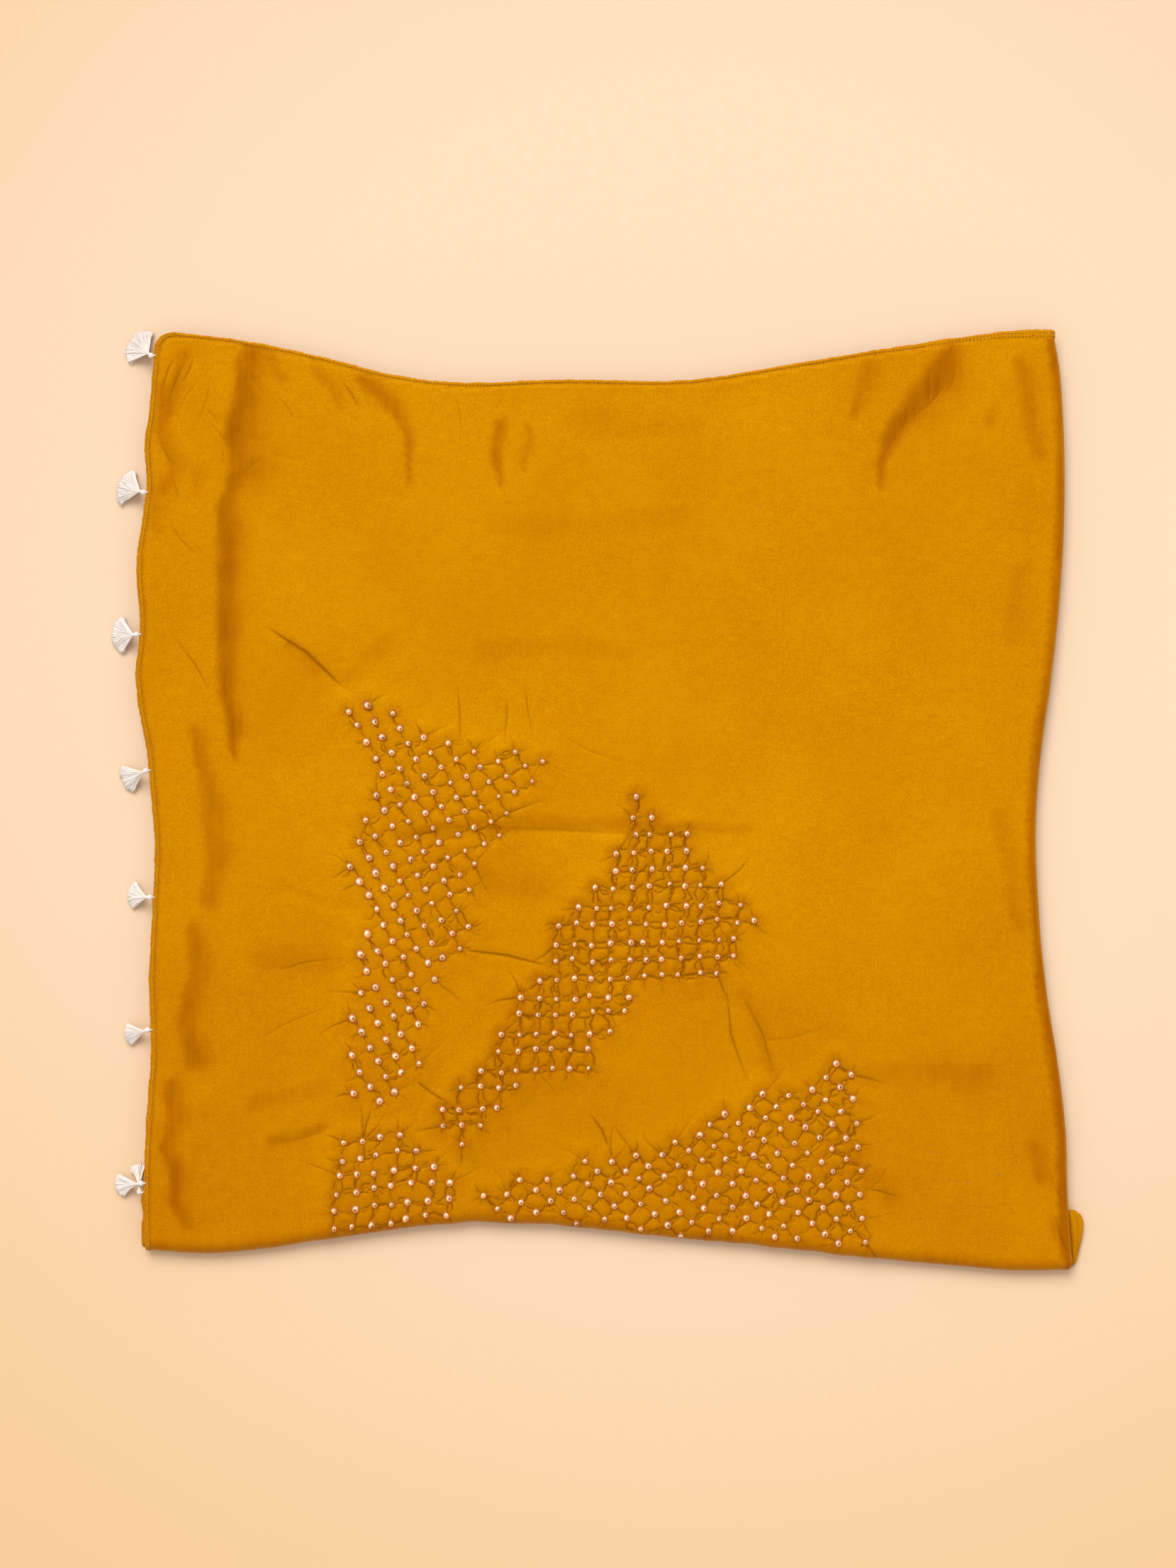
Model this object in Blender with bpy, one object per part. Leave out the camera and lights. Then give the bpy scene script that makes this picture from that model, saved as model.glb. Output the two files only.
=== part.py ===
"""A long silk stole with tied dots and cotton tassels, folded in eight and laid flat.

Metres, +Z up. The cloth lies on the plane z = 0, with its tasselled end hem along -X, the fold
of its length along +X and the fold of its width along -Y. The origin is at the middle of the
footprint.
"""

import math

import bmesh
import bpy
import numpy as np
from mathutils.geometry import delaunay_2d_cdt

MM = 0.001

# Driving dimensions
HIDDEN_LAYERS = 7
LAYER_PITCH = 10.0 * MM / HIDDEN_LAYERS
STACK_TOP = HIDDEN_LAYERS * LAYER_PITCH
WALL = 1.2 * MM
SEAM_GAP = 0.3 * MM
INNER_SIDE = STACK_TOP + SEAM_GAP
PANEL_TOP = INNER_SIDE + WALL
BOTTOM_FOLD_RADIUS = PANEL_TOP / 2
BOTTOM_FOLD_TURN = math.radians(160)
RIGHT_FOLD_RADIUS = 3.2 * MM
RIGHT_FOLD_TURN = math.radians(130)
CORNER_CUT = 14 * MM
LOWER_FOLD_RADIUS = 2.45 * MM
LOWER_FOLD_INSET = 0.8 * MM
END_HEM_WIDTH = 3.3 * MM
SIDE_HEM_WIDTH = 2.2 * MM
HEM_THICKNESS = 1.5 * MM
END_HEM_TURN = math.radians(140)
SIDE_HEM_TURN = math.radians(110)

# Relief of the cloth
PUFF = 1.5 * MM
PUFF_REACH = 26 * MM
DOT_RISE = 1.7 * MM
PILLOW_RISE = 0.9 * MM
GROOVE_DEPTH = 0.15 * MM
DOT_JITTER = 0.7 * MM
JITTER_WAVES = ((911.0, 337.0), (523.0, 877.0))
FIELD_STEPS = 40

# Spacing of the points of the panel
GRID_START = -270 * MM
GRID_END = 290 * MM
GRID_STEP = 20 * MM
EDGE_STEP = 15 * MM
LEAST_SPACING = 4.5 * MM
ROW_SPACING = 1.6 * MM
GRID_SPACING = 9 * MM
FOLD_GAP = 1.0 * MM
RING_STATIONS = 18
FOLD_LEVELS = 5
CORNER_ANGLES = np.radians((22.5, 45, 67.5))

# Past the ends of every edge, where its curve runs on flat
FAR = 1.0

# Each edge of the folded cloth from above, in millimetres: along the edge, and where it lies
TOP_EDGE = (
    (-262, 290.2), (-230, 286.8), (-177, 276.5), (-124, 263.4), (-98, 260.0), (-19, 261.0),
    (60, 261.0), (113, 269.2), (166, 278.0), (219, 286.2), (262, 291.4), (288, 291.6),
)
BOTTOM_EDGE = (
    (-283, -279.6), (-243, -282.2), (-204, -278.8), (-151, -269.5), (-98, -263.0), (-45, -262.4),
    (34, -269.9), (113, -277.9), (166, -284.0), (219, -289.4), (262, -292.9), (291, -292.4),
)
LEFT_EDGE = (
    (-280, -280.9), (-249, -281.4), (-219, -281.0), (-188, -279.2), (-157, -277.1), (-110, -278.2),
    (-64, -276.0), (-26, -274.7), (4, -277.2), (28, -279.2), (59, -284.9), (78, -286.6),
    (103, -284.1), (151, -285.7), (182, -281.2), (197, -279.6), (215, -281.0), (243, -278.0),
    (276, -275.2),
)
RIGHT_EDGE = (
    (-288, 295.6), (-249, 292.6), (-203, 290.9), (-172, 287.4), (-110, 278.2), (-80, 275.5),
    (-18, 272.7), (12, 274.3), (43, 277.6), (74, 282.2), (105, 285.7), (151, 289.2),
    (200, 290.7), (243, 289.6), (272, 286.9), (286, 284.2),
)

# Soft folds of the top panel, in millimetres: a line, half of the fold's width, and its height
FOLDS = (
    (-219, 272, -214, 224, 8.0, -1.3),
    (-223, 224, -230, 158, 6.0, -1.4),
    (-230, 158, -223, 39, 5.0, -1.2),
    (-263, 272, -267, 193, 5.0, -0.8),
    (-173, 259, -122, 237, 5.0, -0.8),
    (-121, 237, -116, 188, 4.0, -0.8),
    (-60, 230, -60, 197, 3.0, -1.0),
    (-44, 228, -46, 204, 2.5, -0.8),
    (166, 264, 159, 237, 5.0, -0.9),
    (228, 268, 181, 224, 6.0, -1.3),
    (184, 224, 168, 193, 4.0, -0.8),
    (-256, 39, -239, -10, 7.0, -0.9),
    (-239, -10, -234, -58, 8.0, -0.9),
    (-255, -106, -251, -163, 6.0, -1.0),
    (-251, -163, -262, -250, 6.0, -1.0),
    (-195, -57, -151, -69, 3.0, -0.8),
    (-190, 96, -157, 68, 2.5, -1.0),
    (-128, -24, 14, -18, 4.0, -0.7),
    (89, -120, 110, -172, 3.0, -0.7),
    (-199, -213, -168, -204, 3.0, -0.7),
)

# Fields of tied dots, in millimetres: one dot of the field, the steps to its neighbours along
# and across, and the field's outline
DOT_FIELDS = {
    "crescent": (
        (-147.6, -26.4), (5.2, -9.5), (-10.2, -4.6),
        (
            (-159, 68), (-102, 43), (-32, 25), (-53, -18), (-78, -44), (-80, -76), (-79, -94),
            (-94, -111), (-110, -134), (-108, -164), (-126, -196), (-158, -189), (-152, -137),
            (-150, -104), (-142, -78), (-155, -38), (-140, 17),
        ),
    ),
    "arrowhead": (
        (20.4, -77.1), (11.0, 0.4), (-0.5, -11.0),
        (
            (26, 10), (35, -12), (60, -19), (69, -42), (103, -78), (75, -111), (31, -118),
            (14, -137), (-5, -170), (-45, -178), (-83, -221), (-105, -199), (-67, -155),
            (-55, -130), (-28, -102), (-25, -80), (8, -38), (18, -14),
        ),
    ),
    "wedge": (
        (-6.7, -239.2), (8.6, -6.6), (7.5, 8.2),
        (
            (154, -147), (163, -172), (165, -216), (168, -247), (176, -278), (113, -275),
            (41, -270), (-19, -262), (-67, -260), (-76, -243), (-50, -234), (29, -215),
            (53, -206), (71, -188), (100, -184), (131, -172),
        ),
    ),
    "block": (
        (-124.8, -229.8), (11.6, 1.4), (-1.4, -10.7),
        (
            (-160, -209), (-133, -202), (-117, -202), (-104, -221), (-83, -237), (-83, -264),
            (-126, -267), (-167, -273), (-163, -230),
        ),
    ),
}

# Tassels, in millimetres and degrees: place of the knot along the hem, direction and half of the
# spread of the fan from above, and length of the threads
TASSELS = (
    (276.0, 142, 57, 14.8),
    (191.0, 160, 50, 15.2),
    (102.7, 180, 55, 14.3),
    (18.2, 202, 38, 14.8),
    (-60.4, 176, 43, 12.6),
    (-142.8, 195, 32, 13.2),
    (-238.0, 188, 28, 14.8),
)
UNDER_TASSEL = (-243.4, 97, 16, 14.2)
KNOT_RADIUS = 1.6 * MM
KNOT_GAP = 0.25 * MM
KNOT_HEIGHT = INNER_SIDE + HEM_THICKNESS / 2
UNDER_KNOT_HEIGHT = INNER_SIDE - SEAM_GAP - HEM_THICKNESS / 2
# Stations along a knot and its neck, in knot radii: how far ahead of the middle, and radius
KNOT_PROFILE = ((-0.6, 0.8), (0.0, 1.0), (0.65, 0.76), (1.15, 0.42))
SKIRT_LENGTH = 4.0 * MM
FAN_COLUMNS = 5
FAN_ROWS = 2
FAN_THICKNESS = 0.9 * MM
TIP_THICKNESS = 1.4 * MM
TIP_HEIGHT = 1.9 * MM

# The lower hem that stands out at the lower left, in millimetres: along the edge, and how far
UNDER_HEM = (
    (-278, 1.9), (-272, 2.1), (-265, 1.9), (-257, 0.6), (-249, 1.7), (-245, 1.4), (-240, 0.2),
)

# The corner flap, in millimetres: along the edge, and its outer side
CORNER_FLAP = (
    (-290.5, 297.9), (-286.0, 299.0), (-281.0, 300.2), (-275.0, 301.6), (-270.0, 302.6),
    (-265.0, 303.2), (-261.0, 302.6), (-257.5, 300.4), (-255.6, 297.6),
)
FLAP_MIDDLE = 2.9 * MM
FLAP_HALF_HEIGHT = 2.5 * MM

# How far the hidden layers lie inside the top panel, in millimetres, from the lowest layer up:
# at the tasselled end and at the hemmed side
LAYER_INSETS = (
    (2.4, 1.6), (3.6, 2.8), (1.8, 1.3), (1.8, 2.5), (3.1, 3.2), (3.1, 1.9), (2.3, 2.6),
)
LAYER_GROOVE = 1.0 * MM
LAYER_WAVE = 0.35 * MM
LAYER_WAVES_ALONG = (31.0, 25.0)
LAYER_WAVES_UP = 900.0
LAYER_EDGE = 0.5 * MM
FOLDED_PAIRS = ((3, 4), (5, 6))

# Colour and roughness of each material
FINISHES = {
    "silk": ((0.66, 0.25, 0.006), 0.42),
    "hem": ((0.58, 0.21, 0.005), 0.5),
    "cotton": ((0.86, 0.79, 0.74), 0.85),
}


def smooth_curve(rows):
    """A smooth curve through the rows of an edge's table, flat beyond its ends."""
    along, at = np.array(rows, float).T * MM
    slope = np.gradient(at, along)

    def curve(where):
        where = np.clip(where, along[0], along[-1])
        row = np.clip(np.searchsorted(along, where) - 1, 0, len(along) - 2)
        step = along[row + 1] - along[row]
        t = (where - along[row]) / step
        from_start = (1 + 2 * t) * at[row] + t * step * slope[row]
        from_end = (3 - 2 * t) * at[row + 1] + (t - 1) * step * slope[row + 1]
        return (1 - t) ** 2 * from_start + t**2 * from_end

    return curve


top_edge = smooth_curve(TOP_EDGE)
bottom_edge = smooth_curve(BOTTOM_EDGE)
left_edge = smooth_curve(LEFT_EDGE)
right_edge = smooth_curve(RIGHT_EDGE)


def distance_to_line(flat, start, end):
    """How far each point lies from a line between two points."""
    run = end - start
    along = np.clip((flat - start) @ run / (run @ run), 0, 1)
    return np.linalg.norm(flat - start - along[:, None] * run, axis=1)


def soft_rise(flat):
    """How far the cloth stands up between its soft folds."""
    x, y = flat[:, 0], flat[:, 1]
    to_edge = np.minimum.reduce(
        (x - left_edge(y), right_edge(y) - x, y - bottom_edge(x), top_edge(x) - y)
    )
    puff = 1 - np.exp(-((np.maximum(to_edge - BOTTOM_FOLD_RADIUS, 0) / PUFF_REACH) ** 2))
    dips = np.zeros(len(flat))
    for x0, y0, x1, y1, width, height in FOLDS:
        away = distance_to_line(flat, np.array((x0, y0)) * MM, np.array((x1, y1)) * MM)
        dips += height * MM * np.exp(-((away / (width * MM)) ** 2))
    return np.maximum(PUFF + dips, 0) * puff


def lay_on_stack(flat, lift):
    """Points of the flat cloth, lifted off its inner side, with both folds turned over."""
    x, y = flat[:, 0], flat[:, 1]
    fold_x = right_edge(y) - RIGHT_FOLD_RADIUS
    fold_y = bottom_edge(x) + BOTTOM_FOLD_RADIUS
    over_x = np.maximum(0, (x - fold_x) / RIGHT_FOLD_RADIUS)
    over_y = np.maximum(0, (fold_y - y) / BOTTOM_FOLD_RADIUS)
    turn = np.hypot(over_x, over_y)
    share_x = np.divide(over_x, turn, out=np.zeros(len(flat)), where=turn > 0)
    share_y = np.divide(over_y, turn, out=np.zeros(len(flat)), where=turn > 0)
    radius_x = RIGHT_FOLD_RADIUS - WALL + lift
    radius_y = BOTTOM_FOLD_RADIUS - WALL + lift
    radius = share_x**2 * radius_x + share_y**2 * radius_y
    placed_x = np.minimum(x, fold_x) + radius_x * np.sin(turn) * share_x
    placed_y = np.maximum(y, fold_y) - radius_y * np.sin(turn) * share_y
    height = INNER_SIDE + soft_rise(flat) + lift - radius * (1 - np.cos(turn))
    return np.column_stack((placed_x, placed_y, height))


def inside_outline(flat, outline):
    """Which points lie inside a closed outline."""
    x, y = flat[:, 0], flat[:, 1]
    inside = np.zeros(len(flat), bool)
    for (x0, y0), (x1, y1) in zip(outline, np.roll(outline, -1, axis=0)):
        crosses = (y0 > y) != (y1 > y)
        if y0 != y1:
            inside ^= crosses & (x < (x1 - x0) * (y - y0) / (y1 - y0) + x0)
    return inside


def field_points(field):
    """The dots of one field, and the middles of its cells and of the creases between its dots."""
    origin, along, across, outline = (np.array(part, float) * MM for part in DOT_FIELDS[field])
    span = range(-FIELD_STEPS, FIELD_STEPS)
    steps = np.array([(i, j) for i in span for j in span], float)
    nodes = origin + steps[:, :1] * along + steps[:, 1:] * across
    first, second = JITTER_WAVES
    jitter = np.column_stack((np.sin(nodes @ first), np.cos(nodes @ second)))
    kept = inside_outline(nodes, outline)
    dots = (nodes + DOT_JITTER * jitter)[kept]
    cells = (nodes + (along + across) / 2)[kept]
    creases = np.concatenate(((nodes + along / 2)[kept], (nodes + across / 2)[kept]))
    return dots, cells, creases


def corner_curve(start, corner, end, count):
    """Points round a corner, without its two ends."""
    t = np.linspace(0, 1, count + 2)[1:-1, None]
    return (1 - t) ** 2 * start + 2 * t * (1 - t) * corner + t**2 * end


def steps_between(start, end, step):
    return np.linspace(start, end, max(2, round(abs(end - start) / step) + 1))


def bottom_stations():
    """Where the columns of the bottom fold stand, from the end hem to the corner."""
    fold_y = bottom_edge(FAR) + BOTTOM_FOLD_RADIUS
    corner = right_edge(fold_y) - RIGHT_FOLD_RADIUS
    return steps_between(left_edge(-FAR) + END_HEM_WIDTH + SEAM_GAP, corner, EDGE_STEP)


def right_stations():
    """Where the columns of the right fold stand, from the corner to the side hem."""
    fold_y = bottom_edge(FAR) + BOTTOM_FOLD_RADIUS
    return steps_between(fold_y, top_edge(FAR) - SIDE_HEM_WIDTH - SEAM_GAP, EDGE_STEP)


def turned_points(share):
    """Points that lie a share of the way round both folds, from the lower left to the upper right."""
    x, y = bottom_stations(), right_stations()
    bottom_level = BOTTOM_FOLD_RADIUS * (1 - share * BOTTOM_FOLD_TURN)
    right_level = RIGHT_FOLD_RADIUS * (1 - share * RIGHT_FOLD_TURN)
    bottom = np.column_stack((x, bottom_edge(x) + bottom_level))
    right = np.column_stack((right_edge(y) - right_level, y))
    fold_x, fold_y = bottom[-1, 0], right[0, 1]
    over_x = share * RIGHT_FOLD_TURN * RIGHT_FOLD_RADIUS * np.sin(CORNER_ANGLES)
    over_y = share * BOTTOM_FOLD_TURN * BOTTOM_FOLD_RADIUS * np.cos(CORNER_ANGLES)
    corner = np.column_stack((fold_x + over_x, fold_y - over_y))
    return np.concatenate((bottom, corner if share else corner[:0], right))


def panel_outline():
    """The edge of the top panel's flat cloth, inside its hems, from the lower left round."""
    rim = turned_points(1.0)
    side_gap = SIDE_HEM_WIDTH + SEAM_GAP
    end_gap = END_HEM_WIDTH + SEAM_GAP
    levels = np.arange(FOLD_LEVELS - 1, 0, -1) / FOLD_LEVELS
    fold_x = right_edge(FAR) - RIGHT_FOLD_RADIUS
    over = fold_x + levels * RIGHT_FOLD_TURN * RIGHT_FOLD_RADIUS
    x = np.concatenate((over, steps_between(fold_x, TOP_EDGE[0][0] * MM, EDGE_STEP)))
    top = np.column_stack((x, top_edge(x) - side_gap))
    fold_y = bottom_edge(-FAR) + BOTTOM_FOLD_RADIUS
    over = fold_y - levels[::-1] * BOTTOM_FOLD_TURN * BOTTOM_FOLD_RADIUS
    y = np.concatenate((steps_between(LEFT_EDGE[-1][0] * MM, fold_y, EDGE_STEP), over))
    left = np.column_stack((left_edge(y) + end_gap, y))
    rounded = corner_curve(top[-1], np.array((left[0, 0], top[-1, 1])), left[0], 3)
    return np.concatenate((rim, top, rounded, left))


def fold_rows():
    """Points along the two turned folds, level by level."""
    return np.concatenate([turned_points(level / FOLD_LEVELS) for level in range(FOLD_LEVELS)])


def soft_fold_points():
    """Points along the soft folds and both of their shoulders."""
    points = []
    for x0, y0, x1, y1, width, _ in FOLDS:
        start, end = np.array((x0, y0)) * MM, np.array((x1, y1)) * MM
        run = end - start
        side = np.array((-run[1], run[0])) / np.linalg.norm(run) * width * MM
        t = steps_between(0, 1, 1.2 * EDGE_STEP / np.linalg.norm(run))[:, None]
        for share in (0, -1.6, 1.6):
            points.append(start + t * run + share * side)
    return np.concatenate(points)


def grid_points():
    x = np.arange(GRID_START, GRID_END, GRID_STEP)
    y = np.arange(GRID_START, GRID_END, GRID_STEP * math.sqrt(0.75))
    across, up = np.meshgrid(x, y)
    across[::2] += GRID_STEP / 2
    return np.column_stack((across.ravel(), up.ravel()))


def add_spaced(kept, extra, spacing):
    """The kept points, with each extra one that lies far enough from all of those before it."""
    kept = list(kept)
    for point in extra:
        if np.min(np.sum((np.array(kept) - point) ** 2, axis=1)) > spacing**2:
            kept.append(point)
    return np.array(kept)


def row_edges(points):
    """Pairs of neighbouring points along each level of the turned folds."""
    edges = []
    for level in range(FOLD_LEVELS):
        row = turned_points(level / FOLD_LEVELS)
        nearest = [int(np.argmin(np.sum((points - place) ** 2, axis=1))) for place in row]
        edges += [pair for pair in zip(nearest, nearest[1:]) if pair[0] != pair[1]]
    return edges


def fill_outline(points, outline_count):
    """Triangles over the points inside the outline that the first points make."""
    outline = list(range(outline_count))
    places = [tuple(point) for point in points]
    made = delaunay_2d_cdt(places, row_edges(points), [outline], 1, 1e-7)
    position = {old: new for new, olds in enumerate(made[3]) for old in olds}
    flat = np.array([tuple(v) for v in made[0]])
    return flat, [tuple(face) for face in made[2]], [position[i] for i in outline]


def relief_of(flat, dots, cells, creases):
    """How far each point of the outer side is raised by the tied dots."""
    relief = np.zeros(len(flat))
    for places, height in ((cells, PILLOW_RISE), (creases, -GROOVE_DEPTH), (dots, DOT_RISE)):
        for place in places:
            nearest = np.argmin(np.sum((flat - place) ** 2, axis=1))
            if np.linalg.norm(flat[nearest] - place) < 1e-5:
                relief[nearest] = height
    return relief


def make_object(name, vertices, faces, collection, finish):
    mesh = bpy.data.meshes.new(name)
    mesh.from_pydata([tuple(v) for v in vertices], [], faces)
    build = bmesh.new()
    build.from_mesh(mesh)
    bmesh.ops.recalc_face_normals(build, faces=build.faces)
    bmesh.ops.triangulate(build, faces=build.faces)
    build.to_mesh(mesh)
    build.free()
    mesh.shade_smooth()
    mesh.set_sharp_from_angle(angle=math.radians(50))
    material = bpy.data.materials.new(name)
    material.use_nodes = True
    shader = material.node_tree.nodes["Principled BSDF"]
    colour, roughness = FINISHES[finish]
    shader.inputs["Base Color"].default_value = (*colour, 1)
    shader.inputs["Roughness"].default_value = roughness
    shader.inputs["Metallic"].default_value = 0
    mesh.materials.append(material)
    made = bpy.data.objects.new(name, mesh)
    collection.objects.link(made)
    return made


def loft(sections):
    """Vertices and faces of a closed bar through sections that have the same number of points."""
    count = len(sections[0])
    vertices = np.concatenate(sections)
    faces = [tuple(range(count))[::-1], tuple(range(len(vertices) - count, len(vertices)))]
    for row in range(len(sections) - 1):
        for i in range(count):
            j = (i + 1) % count
            base = row * count
            faces.append((base + i, base + j, base + count + j, base + count + i))
    return vertices, faces


def top_panel(collection):
    """The layer that shows: a wall with a plain inner side and the dots raised in its outer side."""
    outline = panel_outline()
    fields = [field_points(field) for field in DOT_FIELDS]
    dots, cells, creases = (np.concatenate(parts) for parts in zip(*fields))
    base = add_spaced(outline, fold_rows(), ROW_SPACING)
    soft = np.concatenate((soft_fold_points(), grid_points()))
    plain = add_spaced(base, soft[inside_outline(soft, outline)], GRID_SPACING)
    raised = np.concatenate((dots, cells, creases))
    outer = add_spaced(base, raised[inside_outline(raised, outline)], ROW_SPACING)
    outer = add_spaced(outer, plain[len(base):], LEAST_SPACING)
    outer_flat, outer_faces, outer_rim = fill_outline(outer, len(outline))
    inner_flat, inner_faces, inner_rim = fill_outline(plain, len(outline))
    relief = relief_of(outer_flat, dots, cells, creases)
    above = lay_on_stack(outer_flat, WALL + relief)
    below = lay_on_stack(inner_flat, np.zeros(len(inner_flat)))
    shift = len(above)
    faces = list(outer_faces)
    faces += [tuple(shift + i for i in reversed(face)) for face in inner_faces]
    for i in range(len(outline)):
        j = (i + 1) % len(outline)
        faces.append((outer_rim[j], outer_rim[i], shift + inner_rim[i], shift + inner_rim[j]))
    return make_object("top_panel", np.concatenate((above, below)), faces, collection, "silk")


def hem_section(edge_point, inward, width, low, high):
    """Six points round a rolled hem, from its outer edge inward, laid on the stack."""
    across = np.array((0.0, 0.22, 0.8, 1.0, 0.8, 0.22)) * width
    up = np.array((0.5, 0.0, 0.0, 0.5, 1.0, 1.0))
    flat = edge_point + across[:, None] * inward
    return lay_on_stack(flat, low + up * (high - low))


def end_hem(collection):
    """The rolled hem with the tassels: round the upper left corner, and over the bottom fold."""
    start = np.array((TOP_EDGE[0][0] * MM, top_edge(-FAR)))
    fold = bottom_edge(-FAR) + BOTTOM_FOLD_RADIUS
    lowest = fold - BOTTOM_FOLD_RADIUS * END_HEM_TURN
    y = np.concatenate((
        steps_between(LEFT_EDGE[-1][0] * MM, fold, EDGE_STEP)[:-1],
        np.linspace(fold, lowest, 6),
    ))
    side = np.column_stack((left_edge(y), y))
    corner = np.array((side[0, 0], start[1]))
    path = [start, *corner_curve(start, corner, side[0], 4), *side]
    sections = []
    for number, point in enumerate(path):
        t = min(number / 5, 1)
        inward = np.array((t, t - 1)) / math.hypot(t, t - 1)
        width = (1 - t) * SIDE_HEM_WIDTH + t * END_HEM_WIDTH
        sections.append(hem_section(point, inward, width, 0, HEM_THICKNESS))
    return make_object("end_hem", *loft(sections), collection, "hem")


def side_hem(collection):
    """The rolled hem along the long side, over the right fold."""
    fold = right_edge(FAR) - RIGHT_FOLD_RADIUS
    x = np.concatenate((
        steps_between(TOP_EDGE[0][0] * MM + SEAM_GAP, fold, EDGE_STEP)[:-1],
        np.linspace(fold, fold + RIGHT_FOLD_RADIUS * SIDE_HEM_TURN, 5),
    ))
    inward = np.array((0.0, -1.0))
    path = np.column_stack((x, top_edge(x)))
    sections = [hem_section(p, inward, SIDE_HEM_WIDTH, 0, HEM_THICKNESS) for p in path]
    return make_object("side_hem", *loft(sections), collection, "hem")


def under_hem(collection):
    """The stretch of the lower layer's end hem that stands out at the lower left."""
    stands_out = smooth_curve(UNDER_HEM)
    fold = bottom_edge(-FAR) + BOTTOM_FOLD_RADIUS
    y = np.concatenate((
        steps_between(UNDER_HEM[-1][0] * MM, fold, 4 * MM)[:-1],
        fold - BOTTOM_FOLD_RADIUS * np.radians((0, 30, 60, 90)),
    ))
    inward = np.array((1.0, 0.0))
    low = -HEM_THICKNESS - SEAM_GAP
    path = np.column_stack((left_edge(y) - stands_out(y), y))
    sections = [hem_section(p, inward, END_HEM_WIDTH / 2, low, -SEAM_GAP) for p in path]
    return make_object("under_hem", *loft(sections), collection, "hem")


def right_inset(height):
    """The hidden layers' two folds on the right: the lower one free, the upper one in the wall."""
    half = LOWER_FOLD_RADIUS
    rounded = RIGHT_FOLD_RADIUS - WALL - FOLD_GAP
    centre = PANEL_TOP - RIGHT_FOLD_RADIUS
    if height <= 2 * half:
        return LOWER_FOLD_INSET + half - math.sqrt(max(0, half**2 - (height - half) ** 2))
    if height < centre - rounded:
        return RIGHT_FOLD_RADIUS + LAYER_EDGE
    return RIGHT_FOLD_RADIUS - math.sqrt(max(0, rounded**2 - (height - centre) ** 2))


def bottom_inset(height):
    """The hidden layers inside the bottom fold, flat where they rest."""
    rounded = BOTTOM_FOLD_RADIUS - WALL - FOLD_GAP
    if height < BOTTOM_FOLD_RADIUS - rounded:
        return BOTTOM_FOLD_RADIUS + LAYER_EDGE
    return BOTTOM_FOLD_RADIUS - math.sqrt(max(0, rounded**2 - (height - BOTTOM_FOLD_RADIUS) ** 2))


def layer_levels():
    """Height, left inset and top inset of each ring of the hidden layers."""
    left, top = (inset * MM + LAYER_EDGE for inset in LAYER_INSETS[0])
    levels = [(0.0, left, top)]
    for layer in range(HIDDEN_LAYERS):
        left, top = (inset * MM for inset in LAYER_INSETS[layer])
        levels.append(((layer + 0.5) * LAYER_PITCH, left, top))
        if layer + 1 == HIDDEN_LAYERS:
            levels.append((STACK_TOP, left + LAYER_GROOVE, top + LAYER_GROOVE))
            break
        next_left, next_top = (inset * MM for inset in LAYER_INSETS[layer + 1])
        left_groove = 0 if (layer + 1, layer + 2) in FOLDED_PAIRS else LAYER_GROOVE
        groove = max(left, next_left) + left_groove
        levels.append(((layer + 1) * LAYER_PITCH, groove, max(top, next_top) + LAYER_GROOVE))
    return levels


def layer_ring(height, left, top):
    """One level round the hidden layers, from the lower left round."""
    right, bottom = right_inset(height), bottom_inset(height)
    low, high = bottom_edge(-FAR) + bottom, top_edge(-FAR) - top
    near, far = left_edge(-FAR) + left, right_edge(-FAR) - right
    cut = CORNER_CUT / 2
    wave = LAYER_WAVE * math.sin(LAYER_WAVES_UP * height)
    up_left, along_top = LAYER_WAVES_ALONG
    x = np.linspace(near + cut, far - cut, RING_STATIONS)
    lower = np.column_stack((x, bottom_edge(x) + bottom))
    y = np.linspace(lower[-1, 1] + cut, top_edge(FAR) - top - cut, RING_STATIONS)
    right_side = np.column_stack((right_edge(y) - right, y))
    x = np.linspace(right_side[-1, 0] - cut, TOP_EDGE[0][0] * MM + left, RING_STATIONS)
    upper = np.column_stack((x, top_edge(x) - top + wave * np.sin(along_top * x)))
    y = np.linspace(high - CORNER_CUT, low + cut, RING_STATIONS)
    left_side = np.column_stack((left_edge(y) + left + wave * np.sin(up_left * y), y))
    sides = (lower, right_side, upper, left_side)
    corners = (
        (right_side[0, 0], lower[-1, 1]), (right_side[-1, 0], upper[0, 1]),
        (left_side[0, 0], upper[-1, 1]), (left_side[-1, 0], lower[0, 1]),
    )
    ring = []
    for i, side in enumerate(sides):
        following = sides[(i + 1) % len(sides)]
        ring += [side, corner_curve(side[-1], np.array(corners[i]), following[0], 3)]
    ring = np.concatenate(ring)
    return np.column_stack((ring, np.full(len(ring), height)))


def under_layers(collection):
    """The seven layers below as one rounded solid, with a ridge round it for each layer."""
    rings = [layer_ring(*level) for level in layer_levels()]
    return make_object("under_layers", *loft(rings), collection, "silk")


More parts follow.
